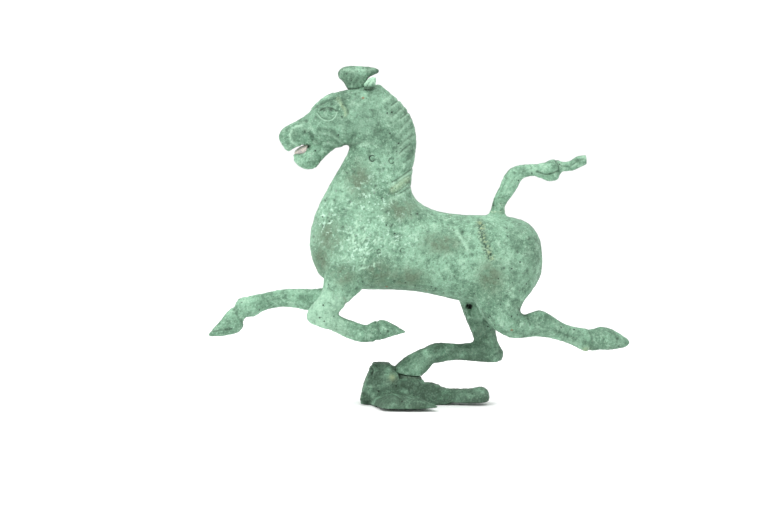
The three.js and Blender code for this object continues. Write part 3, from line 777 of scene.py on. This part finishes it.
def close_inside(part, heart):
    """Closes every opening with a fan of faces. Short rims meet at their middle, and the long
    rim of a body shell meets at a heart from which all of it is in sight."""
    part.normal_update()
    rims = {edge for edge in part.edges if edge.is_boundary}
    while rims:
        loop, front = set(), [rims.pop()]
        while front:
            edge = front.pop()
            loop.add(edge)
            touching = {e for v in edge.verts for e in v.link_edges if e in rims}
            rims -= touching
            front += touching
        spots = [v.co for v in {v for e in loop for v in e.verts}]
        middle = sum(spots, Vector()) / len(spots)
        long_rim = max(spot.x for spot in spots) - min(spot.x for spot in spots) > 60 * MM
        edges = list(loop)
        if long_rim:
            inwards = {v: -v.normal * LIP for e in edges for v in e.verts}
            lip = bmesh.ops.extrude_edge_only(part, edges=edges)["geom"]
            edges = [e for e in lip if isinstance(e, bmesh.types.BMEdge)]
            edges = [e for e in edges if not any(v in inwards for v in e.verts)]
            for v in {v for e in edges for v in e.verts}:
                v.co += next(inwards[o] for e in v.link_edges
                             if (o := e.other_vert(v)) in inwards)
        pulled = bmesh.ops.extrude_edge_only(part, edges=edges)
        new = [v for v in pulled["geom"] if isinstance(v, bmesh.types.BMVert)]
        target = Vector(heart) * MM if long_rim else middle
        bmesh.ops.pointmerge(part, verts=new, merge_co=target)
    bmesh.ops.recalc_face_normals(part, faces=part.faces[:])


def tidy_islands(net, layer, rounds=3):
    """Gives a square to the casting that most of its neighbours belong to."""
    for _ in range(rounds):
        changes = []
        for face in net.faces:
            around = [f[layer] for e in face.edges for f in e.link_faces if f is not face]
            if sum(k != face[layer] for k in around) * 2 > len(around):
                changes.append((face, max(set(around), key=around.count)))
        for face, k in changes:
            face[layer] = k


HEARTS = {"left_body_shell": (-28, -3, 72), "right_body_shell": (-28, 3, 72)}


def cut_pieces(mesh, clay, group, names):
    """Splits a net into one closed mesh for each name."""
    paint_on(mesh, clay)
    number = mesh.attributes.new("skin_point", "INT", "POINT")
    number.data.foreach_set("value", np.arange(clay.count, dtype=np.int32))
    belongs = mesh.attributes.new("casting", "INT", "FACE")
    belongs.data.foreach_set("value", group.astype(np.int32))
    net = bmesh.new()
    net.from_mesh(mesh)
    tidy_islands(net, net.faces.layers.int["casting"])
    pieces = {}
    for k, name in enumerate(names):
        part = net.copy()
        layer = part.faces.layers.int["casting"]
        others = [face for face in part.faces if face[layer] != k]
        bmesh.ops.delete(part, geom=others, context="FACES")
        close_inside(part, HEARTS.get(name))
        shape = bpy.data.meshes.new(name)
        part.to_mesh(shape)
        part.free()
        order = np.empty(len(shape.vertices), np.int32)
        shape.attributes["skin_point"].data.foreach_get("value", order)
        shape.shade_smooth()
        shape.normals_split_custom_set_from_vertices(clay.normal[order])
        shape.attributes.remove(shape.attributes["skin_point"])
        shape.attributes.remove(shape.attributes["casting"])
        pieces[name] = shape
        print(name, len(shape.polygons), "faces")
    net.free()
    return pieces


skin_pieces = cut_pieces(skin, clay, casting_under, SKIN_CASTINGS)

# %% [markdown]
# ## The colours of the patina
#
# The green is basic copper carbonate and chloride. It is never one green: mint powder lies
# over a deeper green crust, with dark pits, olive earth in the low places and specks of grey
# tin oxide. The colours are mixed in layers from clouds of different sizes, all placed in the
# object's own millimetres, so they sit still on the metal from every side.

# %% A small kit for mixing paints
class Palette:
    """A material and short ways to join its nodes."""

    def __init__(self, name):
        self.material = bpy.data.materials.new(name)
        self.material.use_nodes = True
        self.nodes = self.material.node_tree.nodes
        self.shader = self.nodes["Principled BSDF"]
        self.place = self.nodes.new("ShaderNodeTexCoord").outputs["Object"]

    def join(self, value, socket):
        if isinstance(value, bpy.types.NodeSocket):
            self.material.node_tree.links.new(value, socket)
        elif isinstance(value, tuple) and len(value) == 3:
            socket.default_value = (*value, 1)
        else:
            socket.default_value = value

    def clouds(self, size, detail=4, rough=0.55, seed=0.0, stretch=(1, 1, 1)):
        """Noise with features of a size in millimetres."""
        shift = self.nodes.new("ShaderNodeMapping")
        shift.inputs["Location"].default_value = (seed, 2 * seed, 3 * seed)
        shift.inputs["Scale"].default_value = stretch
        self.join(self.place, shift.inputs["Vector"])
        node = self.nodes.new("ShaderNodeTexNoise")
        self.join(shift.outputs[0], node.inputs["Vector"])
        node.inputs["Scale"].default_value = 1 / (size * MM)
        node.inputs["Detail"].default_value = detail
        node.inputs["Roughness"].default_value = rough
        return node.outputs["Fac"]

    def cells(self, size, seed=0.0):
        """Distance from scattered points that lie a size in millimetres apart."""
        shift = self.nodes.new("ShaderNodeMapping")
        shift.inputs["Location"].default_value = (seed, -seed, 2 * seed)
        self.join(self.place, shift.inputs["Vector"])
        node = self.nodes.new("ShaderNodeTexVoronoi")
        self.join(shift.outputs[0], node.inputs["Vector"])
        node.inputs["Scale"].default_value = 1 / (size * MM)
        return node.outputs["Distance"]

    def note(self, name):
        """One of the painter's notes on the points of the piece."""
        node = self.nodes.new("ShaderNodeAttribute")
        node.attribute_name = name
        return node.outputs["Fac"]

    def sum(self, kind, a, b):
        """Two values, or a value and a number, put through one sum."""
        node = self.nodes.new("ShaderNodeMath")
        node.operation = kind
        self.join(a, node.inputs[0])
        self.join(b, node.inputs[1])
        return node.outputs[0]

    def between(self, value, low, high):
        """0 below low, 1 above high, and a soft slope between. Low may be the larger."""
        node = self.nodes.new("ShaderNodeMapRange")
        node.interpolation_type = "SMOOTHSTEP"
        self.join(value, node.inputs["Value"])
        flip = low > high
        node.inputs["From Min"].default_value = min(low, high)
        node.inputs["From Max"].default_value = max(low, high)
        node.inputs["To Min"].default_value = 1.0 if flip else 0.0
        node.inputs["To Max"].default_value = 0.0 if flip else 1.0
        return node.outputs["Result"]

    def blend(self, below, above, cover):
        """One colour laid over another."""
        node = self.nodes.new("ShaderNodeMix")
        node.data_type = "RGBA"
        self.join(cover, node.inputs["Factor"])
        self.join(below, node.inputs["A"])
        self.join(above, node.inputs["B"])
        return node.outputs["Result"]

    def relief(self, height, depth, under=None):
        """Small relief of a height given in millimetres."""
        node = self.nodes.new("ShaderNodeBump")
        node.inputs["Distance"].default_value = depth * MM
        self.join(height, node.inputs["Height"])
        if under is not None:
            self.join(under, node.inputs["Normal"])
        return node.outputs["Normal"]


# %% [markdown]
# ## Verdigris
#
# One recipe serves the light and the dark castings; the dark one is partly darker patina and
# partly painted shade. Clouds from 16 mm down to 0.6 mm give the patches and the grain, and the
# painter's notes decide where painted shade falls in hollows, grooves and holes, where painted
# highlights lie on edges and ridges, and where crusts, earth and filler lie.

# %% Verdigris
MINT = (0.235, 0.435, 0.297)
PALE_MINT = (0.405, 0.64, 0.465)
GREEN = (0.146, 0.295, 0.192)
DEEP_GREEN = (0.067, 0.145, 0.088)
DARK_GREEN = (0.029, 0.06, 0.035)
EARTH = (0.085, 0.12, 0.07)
BLACK = (0.005, 0.007, 0.005)
LEAD_GREY = (0.19, 0.21, 0.2)
YELLOW_GREEN = (0.34, 0.42, 0.23)
RUST = (0.22, 0.12, 0.06)


def verdigris(name, depth=0.0, crust=1.0, painted=True):
    """Green patina. Depth from 0 to 1 makes it darker, and crust makes its relief stronger."""
    p = Palette(name)
    broad = p.clouds(16, 5, 0.6, 1)
    middle = p.clouds(4.5, 7, 0.66, 2)
    small = p.clouds(1.5, 6, 0.72, 3)
    grain = p.clouds(0.6, 4, 0.75, 4)

    color = p.blend(GREEN, MINT, p.between(broad, 0.38, 0.62))
    color = p.blend(color, DEEP_GREEN, p.sum("MULTIPLY", p.between(middle, 0.5, 0.36), 0.62))
    color = p.blend(color, PALE_MINT, p.sum("MULTIPLY", p.between(middle, 0.54, 0.66), 0.62))
    color = p.blend(color, DEEP_GREEN, p.sum("MULTIPLY", p.between(small, 0.46, 0.39), 0.6))
    color = p.blend(color, PALE_MINT, p.sum("MULTIPLY", p.between(small, 0.55, 0.62), 0.62))
    color = p.blend(color, DARK_GREEN, p.sum("MULTIPLY", p.between(grain, 0.43, 0.35), 0.5))
    color = p.blend(color, PALE_MINT, p.sum("MULTIPLY", p.between(grain, 0.58, 0.66), 0.55))

    vein = p.sum("ABSOLUTE", p.sum("SUBTRACT", p.clouds(3.6, 4, 0.6, 14), 0.5), 0.0)
    vein = p.sum("MULTIPLY", p.between(vein, 0.022, 0.004), p.between(middle, 0.4, 0.6))
    color = p.blend(color, PALE_MINT, p.sum("MULTIPLY", vein, 0.55))
    crack = p.sum("ABSOLUTE", p.sum("SUBTRACT", p.clouds(5.2, 5, 0.65, 15), 0.5), 0.0)
    crack = p.sum("MULTIPLY", p.between(crack, 0.018, 0.003), p.between(broad, 0.6, 0.4))
    color = p.blend(color, DARK_GREEN, p.sum("MULTIPLY", crack, 0.5))

    tin = p.sum("MULTIPLY", p.between(p.clouds(2.2, 6, 0.7, 6), 0.6, 0.7), 0.55)
    color = p.blend(color, LEAD_GREY, tin)
    deep = depth
    if painted:
        deep = p.sum("MAXIMUM", p.note("tone_and_painted_shade"), depth)
    # The tone note darkens whole parts: partly darker patina, partly painted shade under the body.
    shade = p.sum("MULTIPLY", deep, p.between(p.clouds(6, 4, 0.6, 9), 0.25, 0.6))
    color = p.blend(color, DARK_GREEN, p.sum("MULTIPLY", shade, 0.85))

    if painted:
        earth = p.sum("MULTIPLY", p.note("dark"), p.between(middle, 0.34, 0.56))
        color = p.blend(color, EARTH, p.sum("MULTIPLY", earth, 0.8))
        # Painted shade in the hollows.
        cavity_shade = p.sum("MULTIPLY", p.note("cavity_shade"), 0.75)
        color = p.blend(color, DARK_GREEN, cavity_shade)
        # Painted shade in grooves, cuts, cracks and pits.
        groove_shade = p.sum("MULTIPLY", p.note("groove_shade"), p.between(small, 0.25, 0.5))
        color = p.blend(color, DARK_GREEN, p.sum("MULTIPLY", groove_shade, 0.85))
        # A painted highlight on the points that stand proud.
        edge = p.sum("MULTIPLY", p.note("edge"), p.between(middle, 0.35, 0.6))
        color = p.blend(color, PALE_MINT, p.sum("MULTIPLY", edge, 0.6))
        fleck = p.between(p.clouds(1.9, 4, 0.6, 12), 0.56, 0.64)
        fleck = p.sum("MULTIPLY", fleck, p.note("fleck"))
        color = p.blend(color, (0.55, 0.8, 0.64), p.sum("MULTIPLY", fleck, 0.75))
        # Pale crusts, and painted highlights on ridges and rims.
        pale_crust_and_highlight = p.sum("MULTIPLY", p.note("pale_crust_and_highlight"), p.between(small, 0.3, 0.5))
        color = p.blend(color, PALE_MINT, p.sum("MULTIPLY", pale_crust_and_highlight, 0.85))
        filler = p.sum("MULTIPLY", p.note("filler"), p.between(small, 0.32, 0.5))
        color = p.blend(color, YELLOW_GREEN, p.sum("MULTIPLY", filler, 0.8))

    pits = p.between(p.cells(5.5, 3), 0.1, 0.05)
    color = p.blend(color, BLACK, p.sum("MULTIPLY", pits, 0.8))
    rust = p.between(p.cells(19, 5), 0.05, 0.02)
    color = p.blend(color, RUST, p.sum("MULTIPLY", rust, 0.8))
    # Painted black shade inside holes, cracks and deep grooves.
    if painted:
        color = p.blend(color, BLACK, p.note("black_shade"))
    p.join(color, p.shader.inputs["Base Color"])

    roughness = p.sum("ADD", 0.42, p.sum("MULTIPLY", middle, 0.42))
    p.join(roughness, p.shader.inputs["Roughness"])
    p.shader.inputs["Specular IOR Level"].default_value = 0.3

    bump = p.relief(middle, 0.6 * crust)
    bump = p.relief(small, 0.5 * crust, bump)
    bump = p.relief(grain, 0.22 * crust, bump)
    bump = p.relief(p.sum("SUBTRACT", 1.0, pits), 0.3, bump)
    p.join(bump, p.shader.inputs["Normal"])
    return p.material


patina = verdigris("verdigris")
# A darker copy for the swallow: partly darker patina, partly painted shade under the horse.
shaded_dark_patina = verdigris("shaded_dark_verdigris", depth=0.9, crust=1.5)
print("patinas:", patina.name, shaded_dark_patina.name)

# %% [markdown]
# ## Dress the pieces
#
# Every cut piece now stands in for its own casting. The strip of filler is part of the left
# shell's skin, so that piece stands in for two.

# %% Dress the skin's pieces
for name, shape in skin_pieces.items():
    nodes = [name]
    if name == "left_body_shell":
        nodes.append("haunch_patch")
    show(f"{name}_skin", shape, nodes, patina)
bpy.data.meshes.remove(skin)

# %% [markdown]
# ## The swallow
#
# The bird under the hoof is the darkest casting, partly from its darker patina and partly from
# painted shade under the horse. Its head is thrown back against the hoof, its wings lie flat with
# sharp tips, and its tail runs out behind. The plan of its wings is a guess, because only its
# outline from the side is known. The surface is coarse, with pits.

# %% Model the swallow
def add_lump(blank, centre, radii):
    """A lump of wax in the shape of an egg."""
    made = bmesh.ops.create_icosphere(blank, subdivisions=4, radius=MM)
    bmesh.ops.scale(blank, verts=made["verts"], vec=radii)
    bmesh.ops.translate(blank, verts=made["verts"], vec=Vector(centre) * MM)


def model(name, nodes, net, rounds, lumps=(), wedge=None):
    """Wraps copies of some castings, and lumps of wax, in a net and smooths it."""
    blank = gather(*nodes)
    for centre, radii in lumps:
        add_lump(blank, centre, radii)
    if wedge:
        corners = [
            blank.verts.new(Vector((x, side * half_width, z)) * MM)
            for x, z, half_width in wedge
            for side in (-1, 1)
        ]
        bmesh.ops.convex_hull(blank, input=corners)
    mesh = wrap(name, blank, net)
    lump = Clay(mesh)
    lump.smooth(rounds)
    lump.look()
    return lump


SWALLOW_NET = 0.42 * MM
FORELOCK_NET = 0.28 * MM
PAD_NET = 0.25 * MM
FINE_NET = 0.22 * MM
LUMPS = [
    # centre, radii
    ((-12.6, 0, 14.4), (4.2, 5.4, 5)),
    ((-4.4, 0, 10), (8.7, 8, 4.2)),
    ((4, 0, 7.6), (9, 7, 3)),
]
HEAD_WEDGE = [
    # x, z, half width
    (-28, 2.5, 8), (-24.4, 14.5, 6.4), (-22.8, 18.9, 5.2), (-21, 20.7, 4),
    (-13.4, 20.3, 4), (-9, 15, 6), (-6, 3, 9),
]
swallow = model("swallow_skin", ["swallow"], SWALLOW_NET, 24, LUMPS, HEAD_WEDGE)
top_view = swallow.at[:, :2]
upper = np.clip(swallow.normal[:, 2], 0, 1)
# The feather lines are darkened with painted shade.
for side in (-1, 1):
    for k in range(7):
        root = np.array((-14 + 3.6 * k, side * 9.5))
        tip = np.array((-8 + 3.0 * k, side * (25.5 - 0.4 * k)))
        gap = distance_to_path(top_view, curved([root, (root + tip) / 2 + (0.8, 0), tip]))
        barb = np.exp(-((gap / 0.55) ** 2)) * upper
        swallow.push(-0.35 * barb)
        swallow.mark("groove_shade", 0.5 * barb)
    gap = distance_to_path(top_view, [(12, side * 2.2), (24, side * 2.6), (35, side * 3)])
    swallow.push(-0.35 * np.exp(-((gap / 0.6) ** 2)) * upper)
swallow.look()
above_ground = np.clip(swallow.at[:, 2] / 1.5, 0, 1)
lumps = cloudy(swallow.at, 5, 11)
grit = cloudy(swallow.at, 1.6, 12, 2)
swallow.push((0.3 * lumps + 0.22 * grit) * above_ground)
# The groove at the bird's head is painted black and the dent beside it darkened, both painted
# shade.
stroke(swallow, [(-22.6, 19), (-21.6, 17.4), (-22.2, 15.4)], 0.5, -0.3, None, "black_shade", 0.5)
dab(swallow, (-22.4, 16.2), 0.8, -0.5, None, "groove_shade", 0.7)
dab(swallow, (-12, 14), 1.6, 0.5, "left", "filler", 0.9)

# %% [markdown]
# ## Wing tips
#
# Smoothing has rounded the wings. Their tips are pressed thin again and their edges lifted a
# little, which lets a dark line of shadow in under them.

# %% Sharpen the wing tips and lift the edges off the ground
x, y, z = swallow.at.T
tips = soft_step(x, 0, 12) * soft_step(np.abs(y), 17, 23)
middle_height = np.where(y < 0, 1.6, 3.4)
z = z + tips * 0.45 * (middle_height - z)
rims = np.maximum(soft_step(np.abs(y), 10, 17), soft_step(x, 13, 19))
z = z + 1.2 * rims * np.clip(1 - z / 2.2, 0, 1)
swallow.at[:, 2] = np.maximum(z, 0)
print("edges lifted by up to", round(float((1.2 * rims).max()), 2), "mm")
# Painted shade in the bird's hollows, and a painted highlight on its raised points.
note_relief(swallow)
# The whole bird is darkened: partly darker patina, partly painted shade under the horse.
swallow.mark("tone_and_painted_shade", np.full(swallow.count, 0.95))
swallow.look()
paint_on(swallow.mesh, swallow)
swallow.mesh.shade_smooth()
show("swallow_skin", swallow.mesh, ["swallow"], shaded_dark_patina)
print("swallow", swallow.count, "points")

# %% [markdown]
# ## Small castings
#
# The forelock curls up and forks like a flame, the ears are short leaves behind it, and a pad
# of solder holds the hoof on the bird's back. Each is wrapped and worked on its own.

# %% Forelock, ears, tongue and solder
forelock = model("forelock_skin", ["forelock"], FORELOCK_NET, 14)
# A painted highlight runs along the top rim of the forelock.
stroke(forelock, [(-37, 166.8), (-31, 166), (-26, 166.4), (-21, 167.2)], 0.8, 0.2, None,
       "pale_crust_and_highlight", 0.4)
dab(forelock, (-31, 162.2), 3.6, 1.1, None)
dab(forelock, (-37, 164.6), 2.6, 0.8, None)
# Its pits are painted black as painted shade.
for px, pz in ((-34.6, 164.8), (-29.2, 166.2), (-32.2, 161.4), (-36.8, 167), (-26.4, 167.6)):
    dab(forelock, (px, pz), 0.4, -0.3, None, "black_shade", 0.7)
forelock.look()
foot = soft_step(forelock.at[:, 2], 161, 158)
forelock.at[:, 2] -= 1.2 * foot
# The foot, where the forelock meets the head, is darkened and painted black as painted shade.
forelock.mark("groove_shade", soft_step(forelock.at[:, 2], 158.4, 157.4))
forelock.mark("black_shade", 0.8 * soft_step(forelock.at[:, 2], 157.6, 157))
forelock.mark("tone_and_painted_shade", np.full(forelock.count, 0.75))

ears = {
    side: model(f"{side}_ear_skin", [f"{side}_ear"], FINE_NET, 10) for side in SIDES
}
# The groove and the root of each ear are darkened with painted shade, and the top is pale patina.
for side, ear in ears.items():
    stroke(ear, [(-24.6, 158), (-23.6, 160), (-22.2, 161.6)], 0.5, -0.5, side, "groove_shade", 0.8)
    ear.push(-0.35 * np.abs(cloudy(ear.at, 1.4, 31, 2)))
    ear.mark("pale_crust_and_highlight", soft_step(ear.at[:, 2], 158.5, 160.5))
    ear.mark("groove_shade", soft_step(ear.at[:, 2], 159, 158))

tongue = model("tongue_skin", ["tongue"], FINE_NET, 12)
heart = tongue.at.mean(0)
tongue.at = heart + (tongue.at - heart) * (1.3, 1.35, 2.9) + (0.4, 0, 0.3)
tongue.look()
tail_fillet = model("tail_solder_skin", ["tail_solder"], FINE_NET, 60)
heart = tail_fillet.at.mean(0)
tail_fillet.at = heart + (tail_fillet.at - heart) * (0.8, 0.8, 1) - (0, 0, 0.6)
tail_fillet.look()
hoof_pad = model("hoof_solder_skin", ["hoof_solder"], PAD_NET, 12)
small_castings = [forelock, *ears.values(), tongue, tail_fillet, hoof_pad]
# Each small casting gets painted shade in its hollows and a painted highlight on its raised
# points.
for seed, casting in enumerate(small_castings):
    casting.look()
    casting.push(0.12 * cloudy(casting.at, 2.2, 20 + seed, 2))
    note_relief(casting, 6)
    casting.look()
    paint_on(casting.mesh, casting)
    casting.mesh.shade_smooth()
    print(casting.mesh.name, casting.count, "points")

# %% [markdown]
# ## Fillings
#
# Solder, filler and putty are dull and grainy. They share one simple recipe with different
# colours and grain.

# %% Solder, filler and putty
def crumbly(name, light, dark, grain_size, rough):
    """A dull filling with lighter and darker grains."""
    p = Palette(name)
    grain = p.clouds(grain_size, 5, 0.65, 8)
    dirt = p.clouds(3.5 * grain_size, 4, 0.6, 9)
    color = p.blend(dark, light, p.between(grain, 0.34, 0.6))
    color = p.blend(color, dark, p.sum("MULTIPLY", p.between(dirt, 0.55, 0.35), 0.7))
    p.join(color, p.shader.inputs["Base Color"])
    p.join(p.sum("ADD", rough, p.sum("MULTIPLY", grain, 0.2)), p.shader.inputs["Roughness"])
    p.join(p.relief(grain, 0.35), p.shader.inputs["Normal"])
    return p.material


solder_bloom = crumbly("corroded_solder", (0.36, 0.52, 0.36), GREEN, 1.1, 0.6)
dark_solder = crumbly("dark_solder", (0.13, 0.22, 0.15), DARK_GREEN, 1.0, 0.65)
putty = crumbly("mouth_putty", (0.58, 0.53, 0.44), (0.36, 0.33, 0.34), 0.9, 0.65)
show("forelock_skin", forelock.mesh, ["forelock"], patina)
for side in SIDES:
    show(f"{side}_ear_skin", ears[side].mesh, [f"{side}_ear"], patina)
show("tongue_skin", tongue.mesh, ["tongue"], putty)
show("tail_solder_skin", tail_fillet.mesh, ["tail_solder"], solder_bloom)
show("hoof_solder_skin", hoof_pad.mesh, ["hoof_solder"], dark_solder)

# %% [markdown]
# ## Core pin plugs
#
# Each plug is a little disc, peened over and filed, that stands a hair proud of the skin. It is
# made flat from a circle, pulled up, rounded at its rim, and set on the skin where a line from
# outside first meets it.

# %% Set a plug on each core pin hole
def tree_of(*meshes):
    corners, faces = [], []
    for mesh in meshes:
        first = len(corners)
        corners += [v.co.copy() for v in mesh.vertices]
        faces += [[first + v for v in face.vertices] for face in mesh.polygons]
    return BVHTree.FromPolygons(corners, faces)


PLUG_RADII = {
    "neck_plug_front": 1.15,
    "neck_plug_rear": 1.0,
    "flank_plug_front": 0.75,
    "flank_plug_rear": 0.8,
}
PLUG_DEPTH = 1.1
PLUG_RISE = 0.04


def plug_disc(name, spot, outwards, radius):
    """A disc with a rounded rim, sunk in the skin at a spot."""
    disc = bmesh.new()
    bmesh.ops.create_circle(disc, cap_ends=True, segments=28, radius=radius * MM)
    base = disc.faces[:]
    pulled = bmesh.ops.extrude_face_region(disc, geom=base, use_keep_orig=True)
    raised = [e for e in pulled["geom"] if isinstance(e, bmesh.types.BMVert)]
    bmesh.ops.translate(disc, verts=raised, vec=(0, 0, PLUG_DEPTH * MM))
    bmesh.ops.recalc_face_normals(disc, faces=disc.faces[:])
    rim = [e for e in disc.edges if all(v in raised for v in e.verts)]
    bmesh.ops.bevel(disc, geom=rim, offset=0.3 * radius * MM, segments=3, profile=0.5,
                    affect="EDGES", material=-1)
    crown = [f for f in disc.faces if f.normal.z > 0.99]
    for _ in range(2):
        bmesh.ops.inset_region(disc, faces=crown, thickness=0.25 * radius * MM)
        bmesh.ops.translate(disc, verts=list({v for f in crown for v in f.verts}),
                            vec=(0, 0, 0.03 * MM))
    turn = outwards.to_track_quat("Z", "Y").to_matrix()
    bmesh.ops.rotate(disc, verts=disc.verts, matrix=turn)
    lift = outwards * (PLUG_RISE - PLUG_DEPTH) * MM
    bmesh.ops.translate(disc, verts=disc.verts, vec=spot + lift)
    bmesh.ops.triangulate(disc, faces=disc.faces[:])
    mesh = bpy.data.meshes.new(name)
    disc.to_mesh(mesh)
    disc.free()
    mesh.shade_smooth()
    return mesh


plug_patina = verdigris("plug_verdigris", depth=0.2, crust=0.8, painted=False)
for side, outside in (("left", -1), ("right", 1)):
    skin_tree = tree_of(skin_pieces[f"{side}_body_shell"])
    for spot, radius in PLUG_RADII.items():
        node = f"{side}_{spot}"
        low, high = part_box(node)
        middle = (low + high) / 2
        start = Vector((middle.x, outside * 40 * MM, middle.z))
        hit, normal, _, _ = skin_tree.ray_cast(start, Vector((0, -outside, 0)))
        disc = plug_disc(f"{node}_disc", hit, normal, radius)
        show(f"{node}_disc", disc, [node], plug_patina)
        print(node, "at", [round(c / MM, 1) for c in hit])

# %% [markdown]
# ## Hidden metal
#
# Dowels, the throat ring, the iron rod and its nut can't be seen, and their blanks already have
# the right shape. They keep those shapes and get raw bronze or rusty iron.

# %% Raw bronze and rusty iron
def bare_metal(name, bright, tarnish, metallic, rough):
    """Metal with blotches of tarnish and fine file marks."""
    p = Palette(name)
    blotches = p.clouds(3, 5, 0.6, 5)
    scratches = p.clouds(0.6, 3, 0.6, 7, stretch=(1, 1, 0.15))
    p.join(p.blend(bright, tarnish, p.between(blotches, 0.4, 0.62)), p.shader.inputs["Base Color"])
    p.join(p.sum("ADD", rough, p.sum("MULTIPLY", blotches, 0.3)), p.shader.inputs["Roughness"])
    p.join(p.relief(scratches, 0.08), p.shader.inputs["Normal"])
    p.shader.inputs["Metallic"].default_value = metallic
    return p.material


bare_bronze = bare_metal("bare_bronze", (0.42, 0.24, 0.1), (0.16, 0.1, 0.05), 1.0, 0.3)
rusty_iron = bare_metal("rusty_iron", (0.16, 0.08, 0.045), (0.3, 0.11, 0.035), 0.4, 0.55)
INSIDE = {
    bare_bronze: [*HIDDEN, "forelock_pin"],
    rusty_iron: ["support_rod", "rod_nut"],
}
for metal, names in INSIDE.items():
    for name in names:
        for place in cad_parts[name].material_slots:
            place.material = metal
    print(metal.name, "on", len(names), "fittings")

# %% [markdown]
# ## Table, light and camera
#
# The statuette stands on a white sweep of paper in even light. The world is a white tent, one
# large lamp from the upper left models the forms, and the camera looks slightly down from far
# away with a long lens, so the horse keeps its true proportions.

# %% The paper sweep
FLOOR_SIZE = 40
paper = bmesh.new()
bmesh.ops.create_grid(paper, x_segments=8, y_segments=8, size=FLOOR_SIZE / 2)
floor_mesh = bpy.data.meshes.new("paper_floor")
paper.to_mesh(floor_mesh)
paper.free()
floor = bpy.data.objects.new("paper_floor", floor_mesh)
bpy.context.scene.collection.objects.link(floor)
sheet = Palette("white_paper")
fibre = sheet.clouds(3, 3, 0.5, 2)
white = sheet.blend((0.95, 0.95, 0.95), (0.93, 0.93, 0.935), fibre)
sheet.join(white, sheet.shader.inputs["Base Color"])
sheet.shader.inputs["Roughness"].default_value = 0.9
sheet.shader.inputs["Specular IOR Level"].default_value = 0.1
floor_mesh.materials.append(sheet.material)

# %% [markdown]
# ## Light and camera
#
# Even light from all sides shows the patina, and two soft lamps above keep the forms round.

# %% The tent, the lamp and the camera
TENT_LIGHT = 1.1
world = bpy.data.worlds.new("white_tent")
bpy.context.scene.world = world
world.use_nodes = True
world.node_tree.nodes["Background"].inputs["Color"].default_value = (1, 1, 1, 1)
world.node_tree.nodes["Background"].inputs["Strength"].default_value = TENT_LIGHT
bpy.context.scene.view_settings.view_transform = "Standard"


def aim(thing, target):
    direction = Vector(target) - thing.location
    thing.rotation_euler = direction.to_track_quat("-Z", "Y").to_euler()


def soft_lamp(name, place, power, size, target=(0, 0, 0.08)):
    data = bpy.data.lights.new(name, "AREA")
    data.energy = power
    data.size = size
    lamp = bpy.data.objects.new(name, data)
    lamp.location = place
    bpy.context.scene.collection.objects.link(lamp)
    aim(lamp, target)


soft_lamp("window", (-0.5, -0.55, 0.95), 7, 0.5)
soft_lamp("top", (0.1, 0.1, 1.2), 5, 0.8)

SENSOR_WIDTH = 36
LENS_LENGTH = 85.03
CAMERA_PLACE = (-0.01285, -0.92, 0.138)
CAMERA_TARGET = (-0.01285, 0, 0.073)
camera_data = bpy.data.cameras.new("side_view")
camera_data.sensor_width = SENSOR_WIDTH
camera_data.lens = LENS_LENGTH
camera = bpy.data.objects.new("side_view", camera_data)
camera.location = CAMERA_PLACE
aim(camera, CAMERA_TARGET)
bpy.context.scene.collection.objects.link(camera)
bpy.context.scene.camera = camera
print("camera at", [round(c, 3) for c in camera.location])
